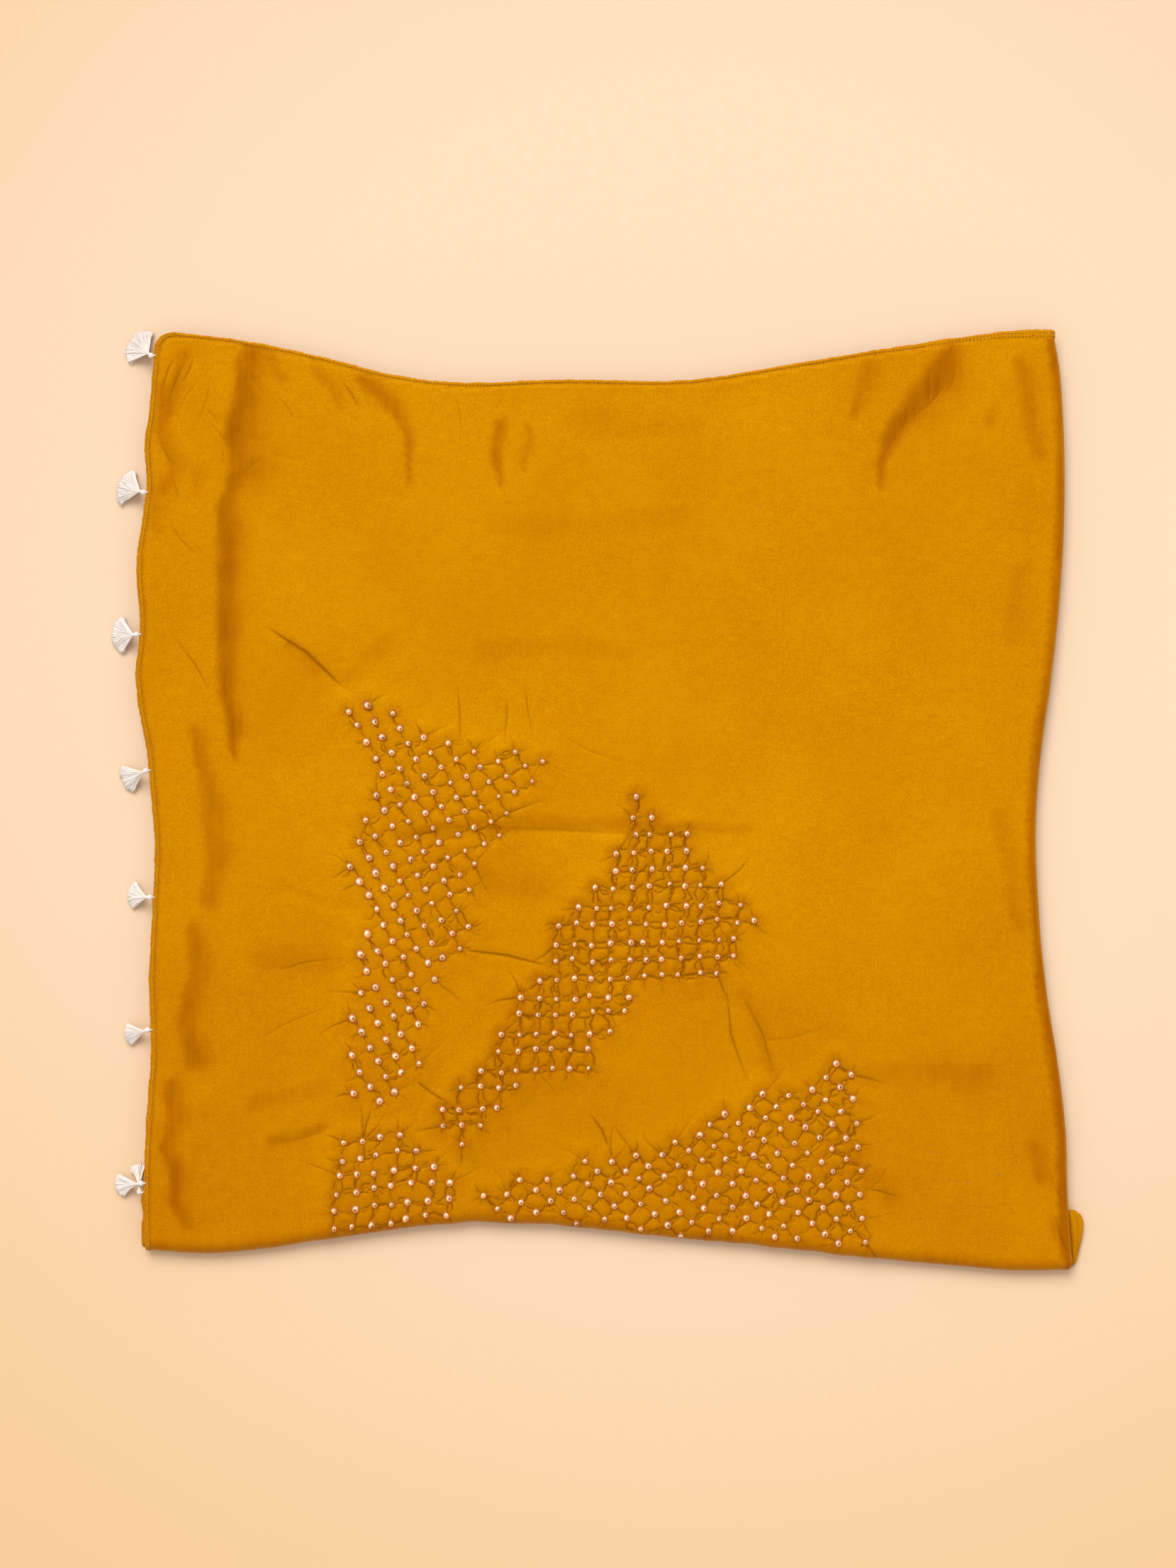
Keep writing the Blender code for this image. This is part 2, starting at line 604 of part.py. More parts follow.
def corner_flap(collection):
    """The loop of an inner fold at the lower right: a wall bent round, open towards the stack."""
    outer_side = smooth_curve(CORNER_FLAP)
    sections = []
    for along, _ in CORNER_FLAP:
        y = along * MM
        inner = right_edge(y) - SEAM_GAP
        reach = max(outer_side(y) - inner, 1.8 * MM)
        bend = np.linspace(math.pi / 2, -math.pi / 2, 7)
        outer = np.column_stack((reach * np.cos(bend), FLAP_HALF_HEIGHT * np.sin(bend)))
        hollow = 1 - WALL / np.array((reach, FLAP_HALF_HEIGHT))
        section = np.concatenate((outer, outer[::-1] * hollow))
        height = FLAP_MIDDLE + section[:, 1]
        sections.append(np.column_stack((inner + section[:, 0], np.full(len(section), y), height)))
    return make_object("corner_flap", *loft(sections), collection, "silk")


def fan_point(neck, heading, spread, length, tip_height, reach, across, up):
    """A point of a tassel's fan: reach from the neck, and across and up from -1 to 1."""
    angle = heading + across * spread
    share = reach / length
    middle = tip_height + (neck[2] - tip_height) * (1 - share) ** 1.5
    thickness = FAN_THICKNESS + share * (TIP_THICKNESS - FAN_THICKNESS)
    return (
        neck[0] + reach * math.cos(angle),
        neck[1] + reach * math.sin(angle),
        middle + up * thickness * (1 - 0.35 * across**2),
    )


def tassel(name, knot, heading, spread, length, collection):
    """A knot, a neck and a skirt whose front is split into threads, each of three sides."""
    ahead = np.array((math.cos(heading), math.sin(heading), 0.0))
    beside = np.array((-ahead[1], ahead[0], 0.0))
    neck = knot + ahead * KNOT_PROFILE[-1][0] * KNOT_RADIUS
    fan = (neck, heading, spread, length, TIP_HEIGHT)
    columns, rows = FAN_COLUMNS, FAN_ROWS
    rim = [(i, rows) for i in range(columns)] + [(columns, j) for j in range(rows, 0, -1)]
    rim += [(i, 0) for i in range(columns, 0, -1)] + [(0, j) for j in range(rows)]

    def share_of(i, j):
        return 2 * i / columns - 1, 2 * j / rows - 1

    vertices = [tuple(knot - ahead * KNOT_RADIUS)]
    faces = []
    for forward, radius in KNOT_PROFILE:
        for i, j in rim:
            across, up = share_of(i, j)
            turn = math.atan2(up, across)
            place = knot + ahead * forward * KNOT_RADIUS
            place = place + radius * KNOT_RADIUS * math.cos(turn) * beside
            vertices.append((place[0], place[1], place[2] + radius * KNOT_RADIUS * math.sin(turn)))
    grid = {}
    for i in range(columns + 1):
        for j in range(rows + 1):
            grid[i, j] = len(vertices)
            vertices.append(fan_point(*fan, SKIRT_LENGTH, *share_of(i, j)))
    count = len(rim)
    for i in range(count):
        faces.append((0, 1 + i, 1 + (i + 1) % count))
        for station in range(len(KNOT_PROFILE) - 1):
            low = 1 + station * count
            j = (i + 1) % count
            faces.append((low + i, low + count + i, low + count + j, low + j))
        last = 1 + (len(KNOT_PROFILE) - 1) * count
        after = rim[(i + 1) % count]
        faces.append((last + i, grid[rim[i]], grid[after], last + (i + 1) % count))
    cells = []
    for i in range(columns):
        for j in range(rows):
            a, b, c, d = (i, j), (i + 1, j), (i + 1, j + 1), (i, j + 1)
            cells += [(a, b, c), (a, c, d)] if (i + j) % 2 else [(a, b, d), (b, c, d)]
    for number, cell in enumerate(cells):
        shares = np.array([share_of(*corner) for corner in cell])
        middle = shares.mean(axis=0)
        reach = length * (0.95 + 0.05 * math.sin(7.3 * number + heading))
        root = [len(vertices) + k for k in range(3)]
        for share in middle + 0.7 * (shares - middle):
            vertices.append(fan_point(*fan, SKIRT_LENGTH, *share))
        tip = [len(vertices) + k for k in range(3)]
        for share in middle + 0.5 * (shares - middle):
            vertices.append(fan_point(*fan, reach, *share))
        for k in range(3):
            n = (k + 1) % 3
            faces.append((grid[cell[k]], grid[cell[n]], root[n], root[k]))
            faces.append((root[k], root[n], tip[n], tip[k]))
        faces.append(tuple(tip))
    return make_object(name, vertices, faces, collection, "cotton")


def tassels(collection):
    beside_hem = KNOT_RADIUS + KNOT_GAP
    for number, (along, heading, spread, length) in enumerate(TASSELS, start=1):
        y = along * MM
        knot = np.array((left_edge(y) - beside_hem, y, KNOT_HEIGHT))
        turn = (math.radians(heading), math.radians(spread), length * MM)
        tassel(f"tassel_{number}", knot, *turn, collection)
    along, heading, spread, length = UNDER_TASSEL
    y = along * MM
    under_edge = left_edge(y) - smooth_curve(UNDER_HEM)(y)
    knot = np.array((under_edge - beside_hem, y, UNDER_KNOT_HEIGHT))
    turn = (math.radians(heading), math.radians(spread), length * MM)
    tassel("tassel_8", knot, *turn, collection)


def main():
    for old in list(bpy.data.objects):
        bpy.data.objects.remove(old, do_unlink=True)
    collection = bpy.data.collections.new("folded_stole")
    bpy.context.scene.collection.children.link(collection)
    under_layers(collection)
    top_panel(collection)
    end_hem(collection)
    side_hem(collection)
    under_hem(collection)
    corner_flap(collection)
    tassels(collection)


main()
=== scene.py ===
"""The looks of a folded silk stole with tied dots and cotton tassels, lying flat on a pale floor.

Every place here is in the part's own frame: metres, +Z up, the cloth on the plane z = 0, its
tasselled end hem along -X, the fold of its length along +X and the fold of its width along -Y.
"""

import math

import bmesh
import bpy
import numpy as np
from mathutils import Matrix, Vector
from mathutils.geometry import delaunay_2d_cdt


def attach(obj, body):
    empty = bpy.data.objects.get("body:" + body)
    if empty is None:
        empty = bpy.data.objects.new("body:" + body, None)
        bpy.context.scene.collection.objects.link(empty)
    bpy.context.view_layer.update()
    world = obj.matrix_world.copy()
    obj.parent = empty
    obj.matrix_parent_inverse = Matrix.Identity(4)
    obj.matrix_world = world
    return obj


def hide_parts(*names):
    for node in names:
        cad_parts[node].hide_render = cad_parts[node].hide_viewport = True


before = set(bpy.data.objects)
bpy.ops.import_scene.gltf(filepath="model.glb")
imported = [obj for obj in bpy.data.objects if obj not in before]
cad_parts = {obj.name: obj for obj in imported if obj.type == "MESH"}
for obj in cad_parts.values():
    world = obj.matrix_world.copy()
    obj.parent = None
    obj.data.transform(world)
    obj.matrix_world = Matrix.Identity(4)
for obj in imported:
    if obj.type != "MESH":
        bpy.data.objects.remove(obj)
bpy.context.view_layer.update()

MM = 0.001
FAR = 1.0
RNG = np.random.default_rng(23)

# The part's own sizes, which the cloth here keeps
HIDDEN_LAYERS = 7
LAYER_PITCH = 10.0 * MM / HIDDEN_LAYERS
STACK_TOP = HIDDEN_LAYERS * LAYER_PITCH
WALL = 1.2 * MM
SEAM_GAP = 0.3 * MM
INNER_SIDE = STACK_TOP + SEAM_GAP
PANEL_TOP = INNER_SIDE + WALL
BOTTOM_FOLD_RADIUS = PANEL_TOP / 2
BOTTOM_FOLD_TURN = math.radians(160)
RIGHT_FOLD_RADIUS = 3.2 * MM
RIGHT_FOLD_TURN = math.radians(130)
LOWER_FOLD_RADIUS = 2.45 * MM
LOWER_FOLD_INSET = 0.8 * MM
END_HEM_WIDTH = 3.3 * MM
SIDE_HEM_WIDTH = 2.2 * MM
HEM_THICKNESS = 1.5 * MM
END_HEM_TURN = math.radians(140)
SIDE_HEM_TURN = math.radians(110)
PUFF = 1.5 * MM
PUFF_REACH = 26 * MM

# Each edge of the folded cloth from above, in millimetres: along the edge, and where it lies
TOP_EDGE = (
    (-262, 290.2), (-230, 286.8), (-177, 276.5), (-124, 263.4), (-98, 260.0), (-19, 261.0),
    (60, 261.0), (113, 269.2), (166, 278.0), (219, 286.2), (262, 291.4), (288, 291.6),
)
BOTTOM_EDGE = (
    (-283, -279.6), (-243, -282.2), (-204, -278.8), (-151, -269.5), (-98, -263.0), (-45, -262.4),
    (34, -269.9), (113, -277.9), (166, -284.0), (219, -289.4), (262, -292.9), (291, -292.4),
)
LEFT_EDGE = (
    (-280, -280.9), (-249, -281.4), (-219, -281.0), (-188, -279.2), (-157, -277.1), (-110, -278.2),
    (-64, -276.0), (-26, -274.7), (4, -277.2), (28, -279.2), (59, -284.9), (78, -286.6),
    (103, -284.1), (151, -285.7), (182, -281.2), (197, -279.6), (215, -281.0), (243, -278.0),
    (276, -275.2),
)
RIGHT_EDGE = (
    (-288, 295.6), (-249, 292.6), (-203, 290.9), (-172, 287.4), (-110, 278.2), (-80, 275.5),
    (-18, 272.7), (12, 274.3), (43, 277.6), (74, 282.2), (105, 285.7), (151, 289.2),
    (200, 290.7), (243, 289.6), (272, 286.9), (286, 284.2),
)

# Soft folds, in millimetres: a line, half of the fold's width, and its height
FOLDS = (
    (-219, 272, -214, 224, 8.0, -1.3), (-223, 224, -230, 158, 6.0, -1.4),
    (-230, 158, -223, 39, 5.0, -1.2), (-263, 272, -267, 193, 5.0, -0.8),
    (-173, 259, -122, 237, 5.0, -0.8), (-121, 237, -116, 188, 4.0, -0.8),
    (-60, 230, -60, 197, 3.0, -1.0), (-44, 228, -46, 204, 2.5, -0.8),
    (166, 264, 159, 237, 5.0, -0.9), (228, 268, 181, 224, 6.0, -1.3),
    (184, 224, 168, 193, 4.0, -0.8), (-256, 39, -239, -10, 7.0, -0.9),
    (-239, -10, -234, -58, 8.0, -0.9), (-255, -106, -251, -163, 6.0, -1.0),
    (-251, -163, -262, -250, 6.0, -1.0), (-195, -57, -151, -69, 3.0, -0.8),
    (-190, 96, -157, 68, 2.5, -1.0), (-128, -24, 14, -18, 4.0, -0.7),
    (89, -120, 110, -172, 3.0, -0.7), (-199, -213, -168, -204, 3.0, -0.7),
)

# Long thin creases, in millimetres: from, to, sideways bow, half width and depth
THIN_CREASES = (
    (-83, -93, -30, -103, 1.5, 0.7, 0.65), (-115, -172, -89, -190, -1.0, 0.7, 0.5),
    (80, -113, 94, -177, -4.0, 0.9, 0.35), (89, -119, 110, -172, 3.0, 1.0, 0.30),
    (-5, -194, 8, -218, 2.0, 0.7, 0.45), (162, -240, 188, -247, 1.0, 0.7, 0.35),
    (157, -203, 173, -196, 0.5, 0.7, 0.35), (-199, -213, -164, -203, -1.5, 1.3, 0.2),
    (-87, 74, -85, 32, 0.8, 1.1, 0.28), (-56, 66, -58, 34, 0.8, 0.9, 0.28),
    (-45, 74, -40, 40, -0.8, 0.9, 0.25), (-138, -16, 82, -24, 2.0, 1.8, 0.22),
    (-200, -106, -160, -98, 1.5, 0.9, 0.28), (-206, 108, -158, 70, 3.0, 1.1, 0.5),
    (-213, -150, -166, -128, 2.0, 1.0, 0.22), (-28, 44, 18, 22, -2.0, 0.9, 0.20),
    (-246, 262, -262, 236, -2.0, 0.7, 0.22), (-239, 268, -250, 228, 2.0, 0.8, 0.2),
    (-256, 272, -266, 246, -1.0, 0.6, 0.3), (-262, 276, -270, 254, -1.2, 0.5, 0.3),
    (-250, 276, -258, 258, 0.6, 0.5, 0.28), (-244, 244, -234, 232, 1.0, 0.5, 0.2),
    (-270, 222, -262, 206, -1.2, 0.6, 0.3), (-264, 200, -260, 186, 0.8, 0.5, 0.24),
    (-233, 222, -232, 206, 0.4, 0.5, 0.2), (-222, 240, -226, 212, 0.8, 0.5, 0.18),
    (-216, 268, -206, 250, -1.0, 0.6, 0.2), (-200, 252, -188, 236, 1.4, 0.7, 0.24),
    (-205, 214, -184, 210, 1.6, 0.5, 0.16), (-222, 200, -206, 214, 1.0, 0.5, 0.2),
    (-243, 236, -226, 217, 1.0, 0.6, 0.2), (-160, 262, -146, 240, 1.0, 1.0, 0.3),
    (-88, 252, -84, 226, 1.0, 0.9, 0.22), (150, 255, 168, 226, 2.0, 0.8, 0.14),
    (216, 258, 196, 238, 2.0, 0.8, 0.25), (206, 268, 204, 236, 0.6, 0.5, 0.24),
    (213, 266, 211, 246, -0.5, 0.5, 0.22), (192, 246, 189, 226, 0.6, 0.5, 0.22),
    (199, 252, 197, 233, -0.5, 0.5, 0.2), (223, 268, 216, 252, 0.8, 0.5, 0.2),
    (90, -150, 150, -139, -3.0, 1.0, 0.2), (118, -40, 168, -70, 4.0, 1.3, 0.12),
    (-262, 100, -240, 66, 2.0, 1.0, 0.28), (-268, 176, -246, 150, -2.0, 0.9, 0.25),
    (196, -262, 262, -252, 3.0, 1.0, 0.12), (212, -120, 262, -146, 4.0, 1.4, 0.12),
    (284, -256, 293, -283, -1.2, 1.1, 0.3), (281, -228, 289, -250, -1.5, 0.9, 0.2),
)

# Fields of tied dots, in millimetres: one dot of the field, the steps to its neighbours along
# and across, the field's outline, how far its cells are drawn together, from 0 to 1, and the
# size of its dots
DOT_FIELDS = {
    "crescent": (
        (-147.6, -26.4), (5.2, -9.5), (-10.2, -4.6),
        (
            (-159, 68), (-102, 43), (-32, 25), (-53, -18), (-78, -44), (-80, -76), (-79, -94),
            (-94, -111), (-110, -134), (-108, -164), (-126, -196), (-158, -189), (-152, -137),
            (-150, -104), (-142, -78), (-155, -38), (-140, 17),
        ),
        0.35, 2.55,
    ),
    "arrowhead": (
        (20.4, -77.1), (11.0, 0.4), (-0.5, -11.0),
        (
            (26, 10), (35, -12), (60, -19), (69, -42), (103, -78), (75, -111), (31, -118),
            (14, -137), (-5, -170), (-45, -178), (-83, -221), (-105, -199), (-67, -155),
            (-55, -130), (-28, -102), (-25, -80), (8, -38), (18, -14),
        ),
        1.0, 2.1,
    ),
    "wedge": (
        (-6.7, -239.2), (8.6, -6.6), (7.5, 8.2),
        (
            (154, -147), (163, -172), (165, -216), (168, -247), (176, -278), (113, -275),
            (41, -270), (-19, -262), (-67, -260), (-76, -243), (-50, -234), (29, -215),
            (53, -206), (71, -188), (100, -184), (131, -172),
        ),
        0.6, 2.35,
    ),
    "block": (
        (-124.8, -229.8), (11.6, 1.4), (-1.4, -10.7),
        (
            (-160, -209), (-133, -202), (-117, -202), (-104, -221), (-83, -237), (-83, -264),
            (-126, -267), (-167, -273), (-163, -230),
        ),
        0.6, 2.35,
    ),
}
FIELD_STEPS = 40
DOT_JITTER = 0.7 * MM
DOT_DRIFT = 1.2 * MM
JITTER_WAVES = ((911.0, 337.0), (523.0, 877.0))

# How the cells' net and the loose creases round it vary
FAINTEST_CREASE = 0.18
EDGE_CREASE_LENGTHS = (0.45, 0.75, 1.1, 2.1)
EDGE_CREASE_ODDS = (0.34, 0.3, 0.23, 0.13)
WHOLE, FADING, TAPERED = 0, 1, 2

# Relief of the tied cloth
PILLOW_RISE = 1.15 * MM
PILLOW_REACH = 7.0 * MM
CONE_RISE = 0.75 * MM
CONE_WIDTH = 2.0 * MM
INNER_LIFT = 0.3 * MM
SEARCH_CELL = 8 * MM

# Spacing of the cloth's points: along its edge, at the dots and creases, in the cells, in the
# plain cloth and on the inner side; for each grid also the least distance from other points
EDGE_STEP = 4 * MM
EDGE_SPACING = 0.9 * MM
SMALLEST_SPACING = 0.52 * MM
CREASE_STEP = 1.3 * MM
CELL_GRID = 2.1 * MM
CELL_SPACING = 1.35 * MM
CELL_REACH = 13 * MM
PLAIN_GRID = 3.4 * MM
PLAIN_SPACING = 2.2 * MM
INNER_GRID = 22 * MM
INNER_SPACING = 9 * MM
GRID_CORNERS = ((-0.29, -0.31), (0.31, 0.30))
FOLD_LEVELS = 10
DOT_POINTS = ((1.2, 7), (2.2, 12), (3.2, 15))

# Rings of a tied dot, from its foot to its middle: share of its size and height in millimetres
DOT_SIDES = 16
DOT_RINGS = (
    (1.25, -0.45), (1.10, -0.12), (0.98, 0.12), (0.86, 0.34), (0.72, 0.50), (0.57, 0.60), (0.42, 0.64),
    (0.28, 0.64), (0.15, 0.62), (0.05, 0.60),
)

# Colours of a dot: its foot, its tied rim, its body, its painted highlight and its hole; the side its painted
# highlight is on, and its size
DOT_FOOT = (0.48, 0.15, 0.0006)
DOT_RIM = (0.34, 0.085, 0.002)
DOT_BODY = (0.76, 0.33, 0.085)
DOT_PAINTED_HIGHLIGHT = (1.0, 0.92, 0.80)
DOT_HOLE = (0.14, 0.035, 0.003)
DOT_HIGHLIGHT_SIDE = 2.2
DOT_SMALLEST = 0.72
DOT_SIZE = 1.12

# Section of a rolled hem, from its outer edge under it and back over it: shares of its width
# and of its height
HEM_SECTION = (
    (-0.03, 0.45), (0.0, 0.15), (0.10, -0.02), (0.5, -0.05), (1.0, 0.0), (1.12, 0.35),
    (1.08, 0.72), (0.9, 0.95), (0.55, 1.0), (0.22, 0.95), (0.04, 0.75),
)
END_PITCH = 1.32 * MM
SIDE_PITCH = 2.2 * MM
STITCH_RADIUS = 0.21 * MM
STITCH_SHARE = 0.27
STITCH_SIDES = 6
STITCH_RINGS = ((-1.0, 0.35), (-0.5, 0.9), (0.5, 0.9), (1.0, 0.35))

# Width of each hem by the share of its length: the end hem, the side hem, which is doubled at
# the right corner, and the lower hem
END_WIDTHS = ((0, SIDE_HEM_WIDTH), (0.02, END_HEM_WIDTH), (1, END_HEM_WIDTH))
SIDE_WIDTHS = (
    (0, 5.6 * MM), (0.05, 5.2 * MM), (0.11, 3.6 * MM), (0.22, SIDE_HEM_WIDTH), (1, SIDE_HEM_WIDTH),
)
UNDER_WIDTHS = ((0, 0.64 * END_HEM_WIDTH), (1, 0.64 * END_HEM_WIDTH))

# Rows of stitches of each hem: share of its width, and of its length
END_ROWS = ((0.3, 1), (0.82, 1))
SIDE_ROWS = ((0.72, 1), (0.3, 0.13))
UNDER_ROWS = ((0.4, 1),)

# Tassels, in millimetres and degrees: place of the knot along the hem, direction and half of the
# spread of the fan from above, and length of the threads
TASSELS = (
    (276.0, 142, 57, 14.8), (191.0, 160, 50, 15.2), (102.7, 180, 55, 14.3), (18.2, 202, 38, 14.8),
    (-60.4, 176, 43, 12.6), (-142.8, 195, 32, 13.2), (-238.0, 188, 28, 14.8),
)
UNDER_TASSEL = (-243.4, 97, 16, 14.2)
KNOT_RADIUS = 1.6 * MM
KNOT_GAP = 0.25 * MM
KNOT_HEIGHT = INNER_SIDE + HEM_THICKNESS / 2
UNDER_KNOT_HEIGHT = INNER_SIDE - SEAM_GAP - HEM_THICKNESS / 2
TIP_HEIGHT = 1.9 * MM
THREADS = 300
CLUMPS = 7
FAN_RIBS = 61
THREAD_RADIUS = 0.27 * MM
WRAP_RADIUS = 0.30 * MM
LOOP_RADIUS = 0.24 * MM
LOWEST_THREAD = 0.40 * MM
UP = np.array((0.0, 0.0, 1.0))

# The lower hem that stands out at the lower left, in millimetres: along the edge, and how far
UNDER_HEM = (
    (-278, 1.9), (-272, 2.1), (-265, 1.9), (-257, 0.6), (-249, 1.7), (-245, 1.4), (-240, 0.2),
)

# The corner flap, in millimetres: along the edge, and its outer side
CORNER_FLAP = (
    (-290.5, 297.9), (-286.0, 299.0), (-281.0, 300.2), (-275.0, 301.6), (-270.0, 302.6),
    (-265.0, 303.2), (-261.0, 302.6), (-257.5, 300.4), (-255.6, 297.6),
)
FLAP_MIDDLE = 2.9 * MM
FLAP_HALF_HEIGHT = 2.5 * MM
# Width of the painted shade along the flap's inner side, which stands for its opening in shadow
FLAP_GAP_SHADE_WIDTH = 2.2 * MM

# How far the hidden layers lie inside the top one, in millimetres, from the lowest layer up: at
# the tasselled end and at the hemmed side
LAYER_INSETS = (
    (2.4, 1.6), (3.6, 2.8), (1.8, 1.3), (1.8, 2.5), (3.1, 3.2), (3.1, 1.9), (2.3, 2.6),
)
LAYER_GROOVE = 1.0 * MM
FOLDED_PAIRS = ((3, 4), (5, 6))

# The picture's frame: what it spans at the height of the cloth, and the lens
FRAME_MIDDLE = (-5.7 * MM, 9.9 * MM)
FRAME_HEIGHT = 973.3 * MM
LENS = 85.0
SENSOR = 36.0

# The light: each lamp's name, where it stands, its spread in degrees, strength and colour
LAMPS = (
    ("key", (-0.30, 1.0, 1.25), 36, 2.30, (1.0, 0.98, 0.95)),
    ("fill", (-0.6, -0.1, 1.6), 75, 0.34, (1.0, 0.97, 0.93)),
)
ROOM_COLOUR = (1.0, 0.97, 0.94)
ROOM_STRENGTH = 0.63

# The floor's colour inside its painted pool of light, its painted shade away from it, and the pool of light
FLOOR_COLOUR = (0.780, 0.603, 0.431)
FLOOR_PAINTED_SHADE = (0.743, 0.487, 0.270)
LIGHT_POOL = (0.06, 0.15, 0.0)
POOL_EDGE = (0.28, 0.78)
FLOOR_REACH = 6.0
FLOOR_LEVEL = -0.3 * MM

# Silk, flat and rolled, its painted shade in creases and in folds, the tint of its lustre, how far the
# painted shade of folds and creases darkens them, and the colours of the threads
SILK = (0.540, 0.205, 0.0003)
ROLLED_SILK = (0.52, 0.192, 0.0003)
PAINTED_CREASE_SHADE = (0.20, 0.052, 0.0002)
PAINTED_FOLD_SHADE = (0.335, 0.088, 0.0002)
LUSTRE = (1.0, 0.60, 0.0)
FOLD_SHADE = 1.08
CREASE_SHADE = 0.85
SILK_DARK = (0.86, 0.76, 0.7)
SILK_LIGHT = (1.10, 1.20, 1.3)
DYED_GRAIN = (0.62, 0.26, 0.05)
STITCH_THREAD = (0.20, 0.085, 0.003)
COTTON = (0.87, 0.79, 0.745)

# Small worn specks of the dye near the lower right corner, in millimetres: place and reach
SPECKS = (
    ((248.7, -232.8), 0.8), ((229.9, -236.7), 0.8), ((221.9, -236.7), 0.5), ((218.8, -235.5), 0.6),
    ((206.7, -218.5), 0.5), ((243.5, -234.8), 0.4), ((101.0, 181.5), 0.6),
)
SPECK = (0.24, 0.105, 0.045)
SPECK_SHADE = 0.92

# Bands of painted shade where the silk's lustre turns dark, in millimetres: how dark, then at each
# point along the band its place and half of its width on the left and on the right
DARK_BANDS = (
    (0.90, (-214, 284, 6, 12), (-221, 262, 5, 12), (-223, 236, 6, 15), (-224, 214, 6, 19),
     (-227, 196, 4, 8), (-231, 160, 7, 10), (-231, 120, 6, 10), (-230, 80, 5, 8), (-228, 45, 4, 6),
     (-226, 28, 2, 3)),
    (0.55, (-254, 277, 4, 4), (-261, 254, 5, 4), (-266, 240, 3, 3)),
    (0.55, (-270, 256, 3, 3), (-271, 226, 3, 6), (-262, 208, 3, 7), (-268, 190, 3, 4)),
    (0.32, (-274, 196, 3, 6), (-275, 168, 3, 5)), (0.30, (-248, 204, 4, 4), (-247, 190, 4, 4)),
    (0.55, (-249, 42, 4, 4), (-246, 18, 4, 6), (-238, -6, 8, 8), (-235, -32, 9, 9), (-240, -62, 6, 7)),
    (0.60, (-250, -80, 5, 6), (-248, -110, 7, 8), (-254, -138, 6, 6), (-251, -162, 9, 9)),
    (0.62, (-264, -176, 5, 6), (-263, -197, 4, 6), (-270, -216, 3, 6), (-262, -231, 4, 6),
     (-263, -248, 4, 6), (-257, -264, 3, 4)),
    (0.75, (-143, 262, 6, 6), (-128, 245, 5, 6), (-120, 228, 2, 4), (-116, 194, 1.5, 2)),
    (0.45, (-176, 268, 3, 3), (-165, 256, 3, 5), (-160, 244, 2, 3)),
    (0.40, (-202, 275, 3, 3), (-196, 262, 3, 4)),
    (0.75, (-61, 236, 2, 3), (-62, 214, 4, 3.5), (-60, 196, 2, 3)),
    (0.60, (-45, 232, 1.5, 2), (-43, 220, 2, 2.5), (-46, 204, 1.5, 2)),
    (0.55, (170, 270, 4, 5), (164, 250, 4, 5), (158, 236, 2, 3)),
    (0.90, (221, 277, 7, 8), (216, 262, 13, 12), (201, 247, 12, 12), (187, 232, 8, 8), (179, 213, 4, 3),
     (175, 196, 2, 2)),
    (0.50, (262, 272, 5, 5), (268, 242, 5, 5), (275, 216, 5, 5)),
    (0.42, (246, 244, 3, 3), (244, 234, 3, 3)), (0.28, (262, 140, 5, 8), (258, 100, 5, 8)),
    (0.30, (252, -10, 6, 8), (256, -40, 6, 7), (262, -76, 5, 6)),
    (0.50, (271, -216, 4, 5), (274, -234, 4, 5)), (0.40, (284, -226, 3, 3), (287, -243, 2, 3)),
    (0.34, (284, -262, 3, 4), (291, -280, 2, 3)), (0.35, (-192, 96, 3, 3), (-172, 80, 3, 3)),
    (0.42, (-120, -20, 4, 4), (-60, -16, 5, 4), (0, -13, 4, 4), (40, -15, 3, 4), (92, -20, 3, 3)),
    (0.28, (-70, -48, 9, 9), (-38, -54, 9, 9)), (0.24, (-208, -98, 8, 9), (-168, -100, 8, 8)),
    (0.22, (-212, -188, 6, 6), (-166, -176, 5, 5)), (0.40, (-200, -212, 4, 4), (-170, -206, 4, 4)),
    (0.24, (-150, 76, 5, 6), (-132, 100, 5, 6)),
    (0.22, (-70, 92, 5, 9), (-20, 96, 7, 7), (20, 92, 5, 6)),
    (0.20, (-64, 172, 6, 8), (0, 170, 7, 7), (48, 176, 6, 6)),
    (0.22, (-10, 236, 10, 8), (60, 232, 8, 8)),
    (0.30, (156, -222, 5, 7), (182, -246, 5, 6)), (0.22, (170, -172, 8, 8), (240, -170, 8, 8)),
    (0.25, (90, -120, 4, 4), (104, -150, 4, 5), (114, -178, 4, 4)),
)

# How dark the painted shade between the dots of each field is
FIELD_SHADE = {"crescent": 0.16, "arrowhead": 0.34, "wedge": 0.20, "block": 0.22}


def smooth_curve(rows):
    """A smooth curve through the rows of an edge's table, flat beyond its ends."""
    along, at = np.array(rows, float).T * MM
    slope = np.gradient(at, along)

    def curve(where):
        where = np.clip(where, along[0], along[-1])
        row = np.clip(np.searchsorted(along, where) - 1, 0, len(along) - 2)
        step = along[row + 1] - along[row]
        t = (where - along[row]) / step
        from_start = (1 + 2 * t) * at[row] + t * step * slope[row]
        from_end = (3 - 2 * t) * at[row + 1] + (t - 1) * step * slope[row + 1]
        return (1 - t) ** 2 * from_start + t**2 * from_end

    return curve


top_edge = smooth_curve(TOP_EDGE)
bottom_edge = smooth_curve(BOTTOM_EDGE)
left_edge = smooth_curve(LEFT_EDGE)
right_edge = smooth_curve(RIGHT_EDGE)


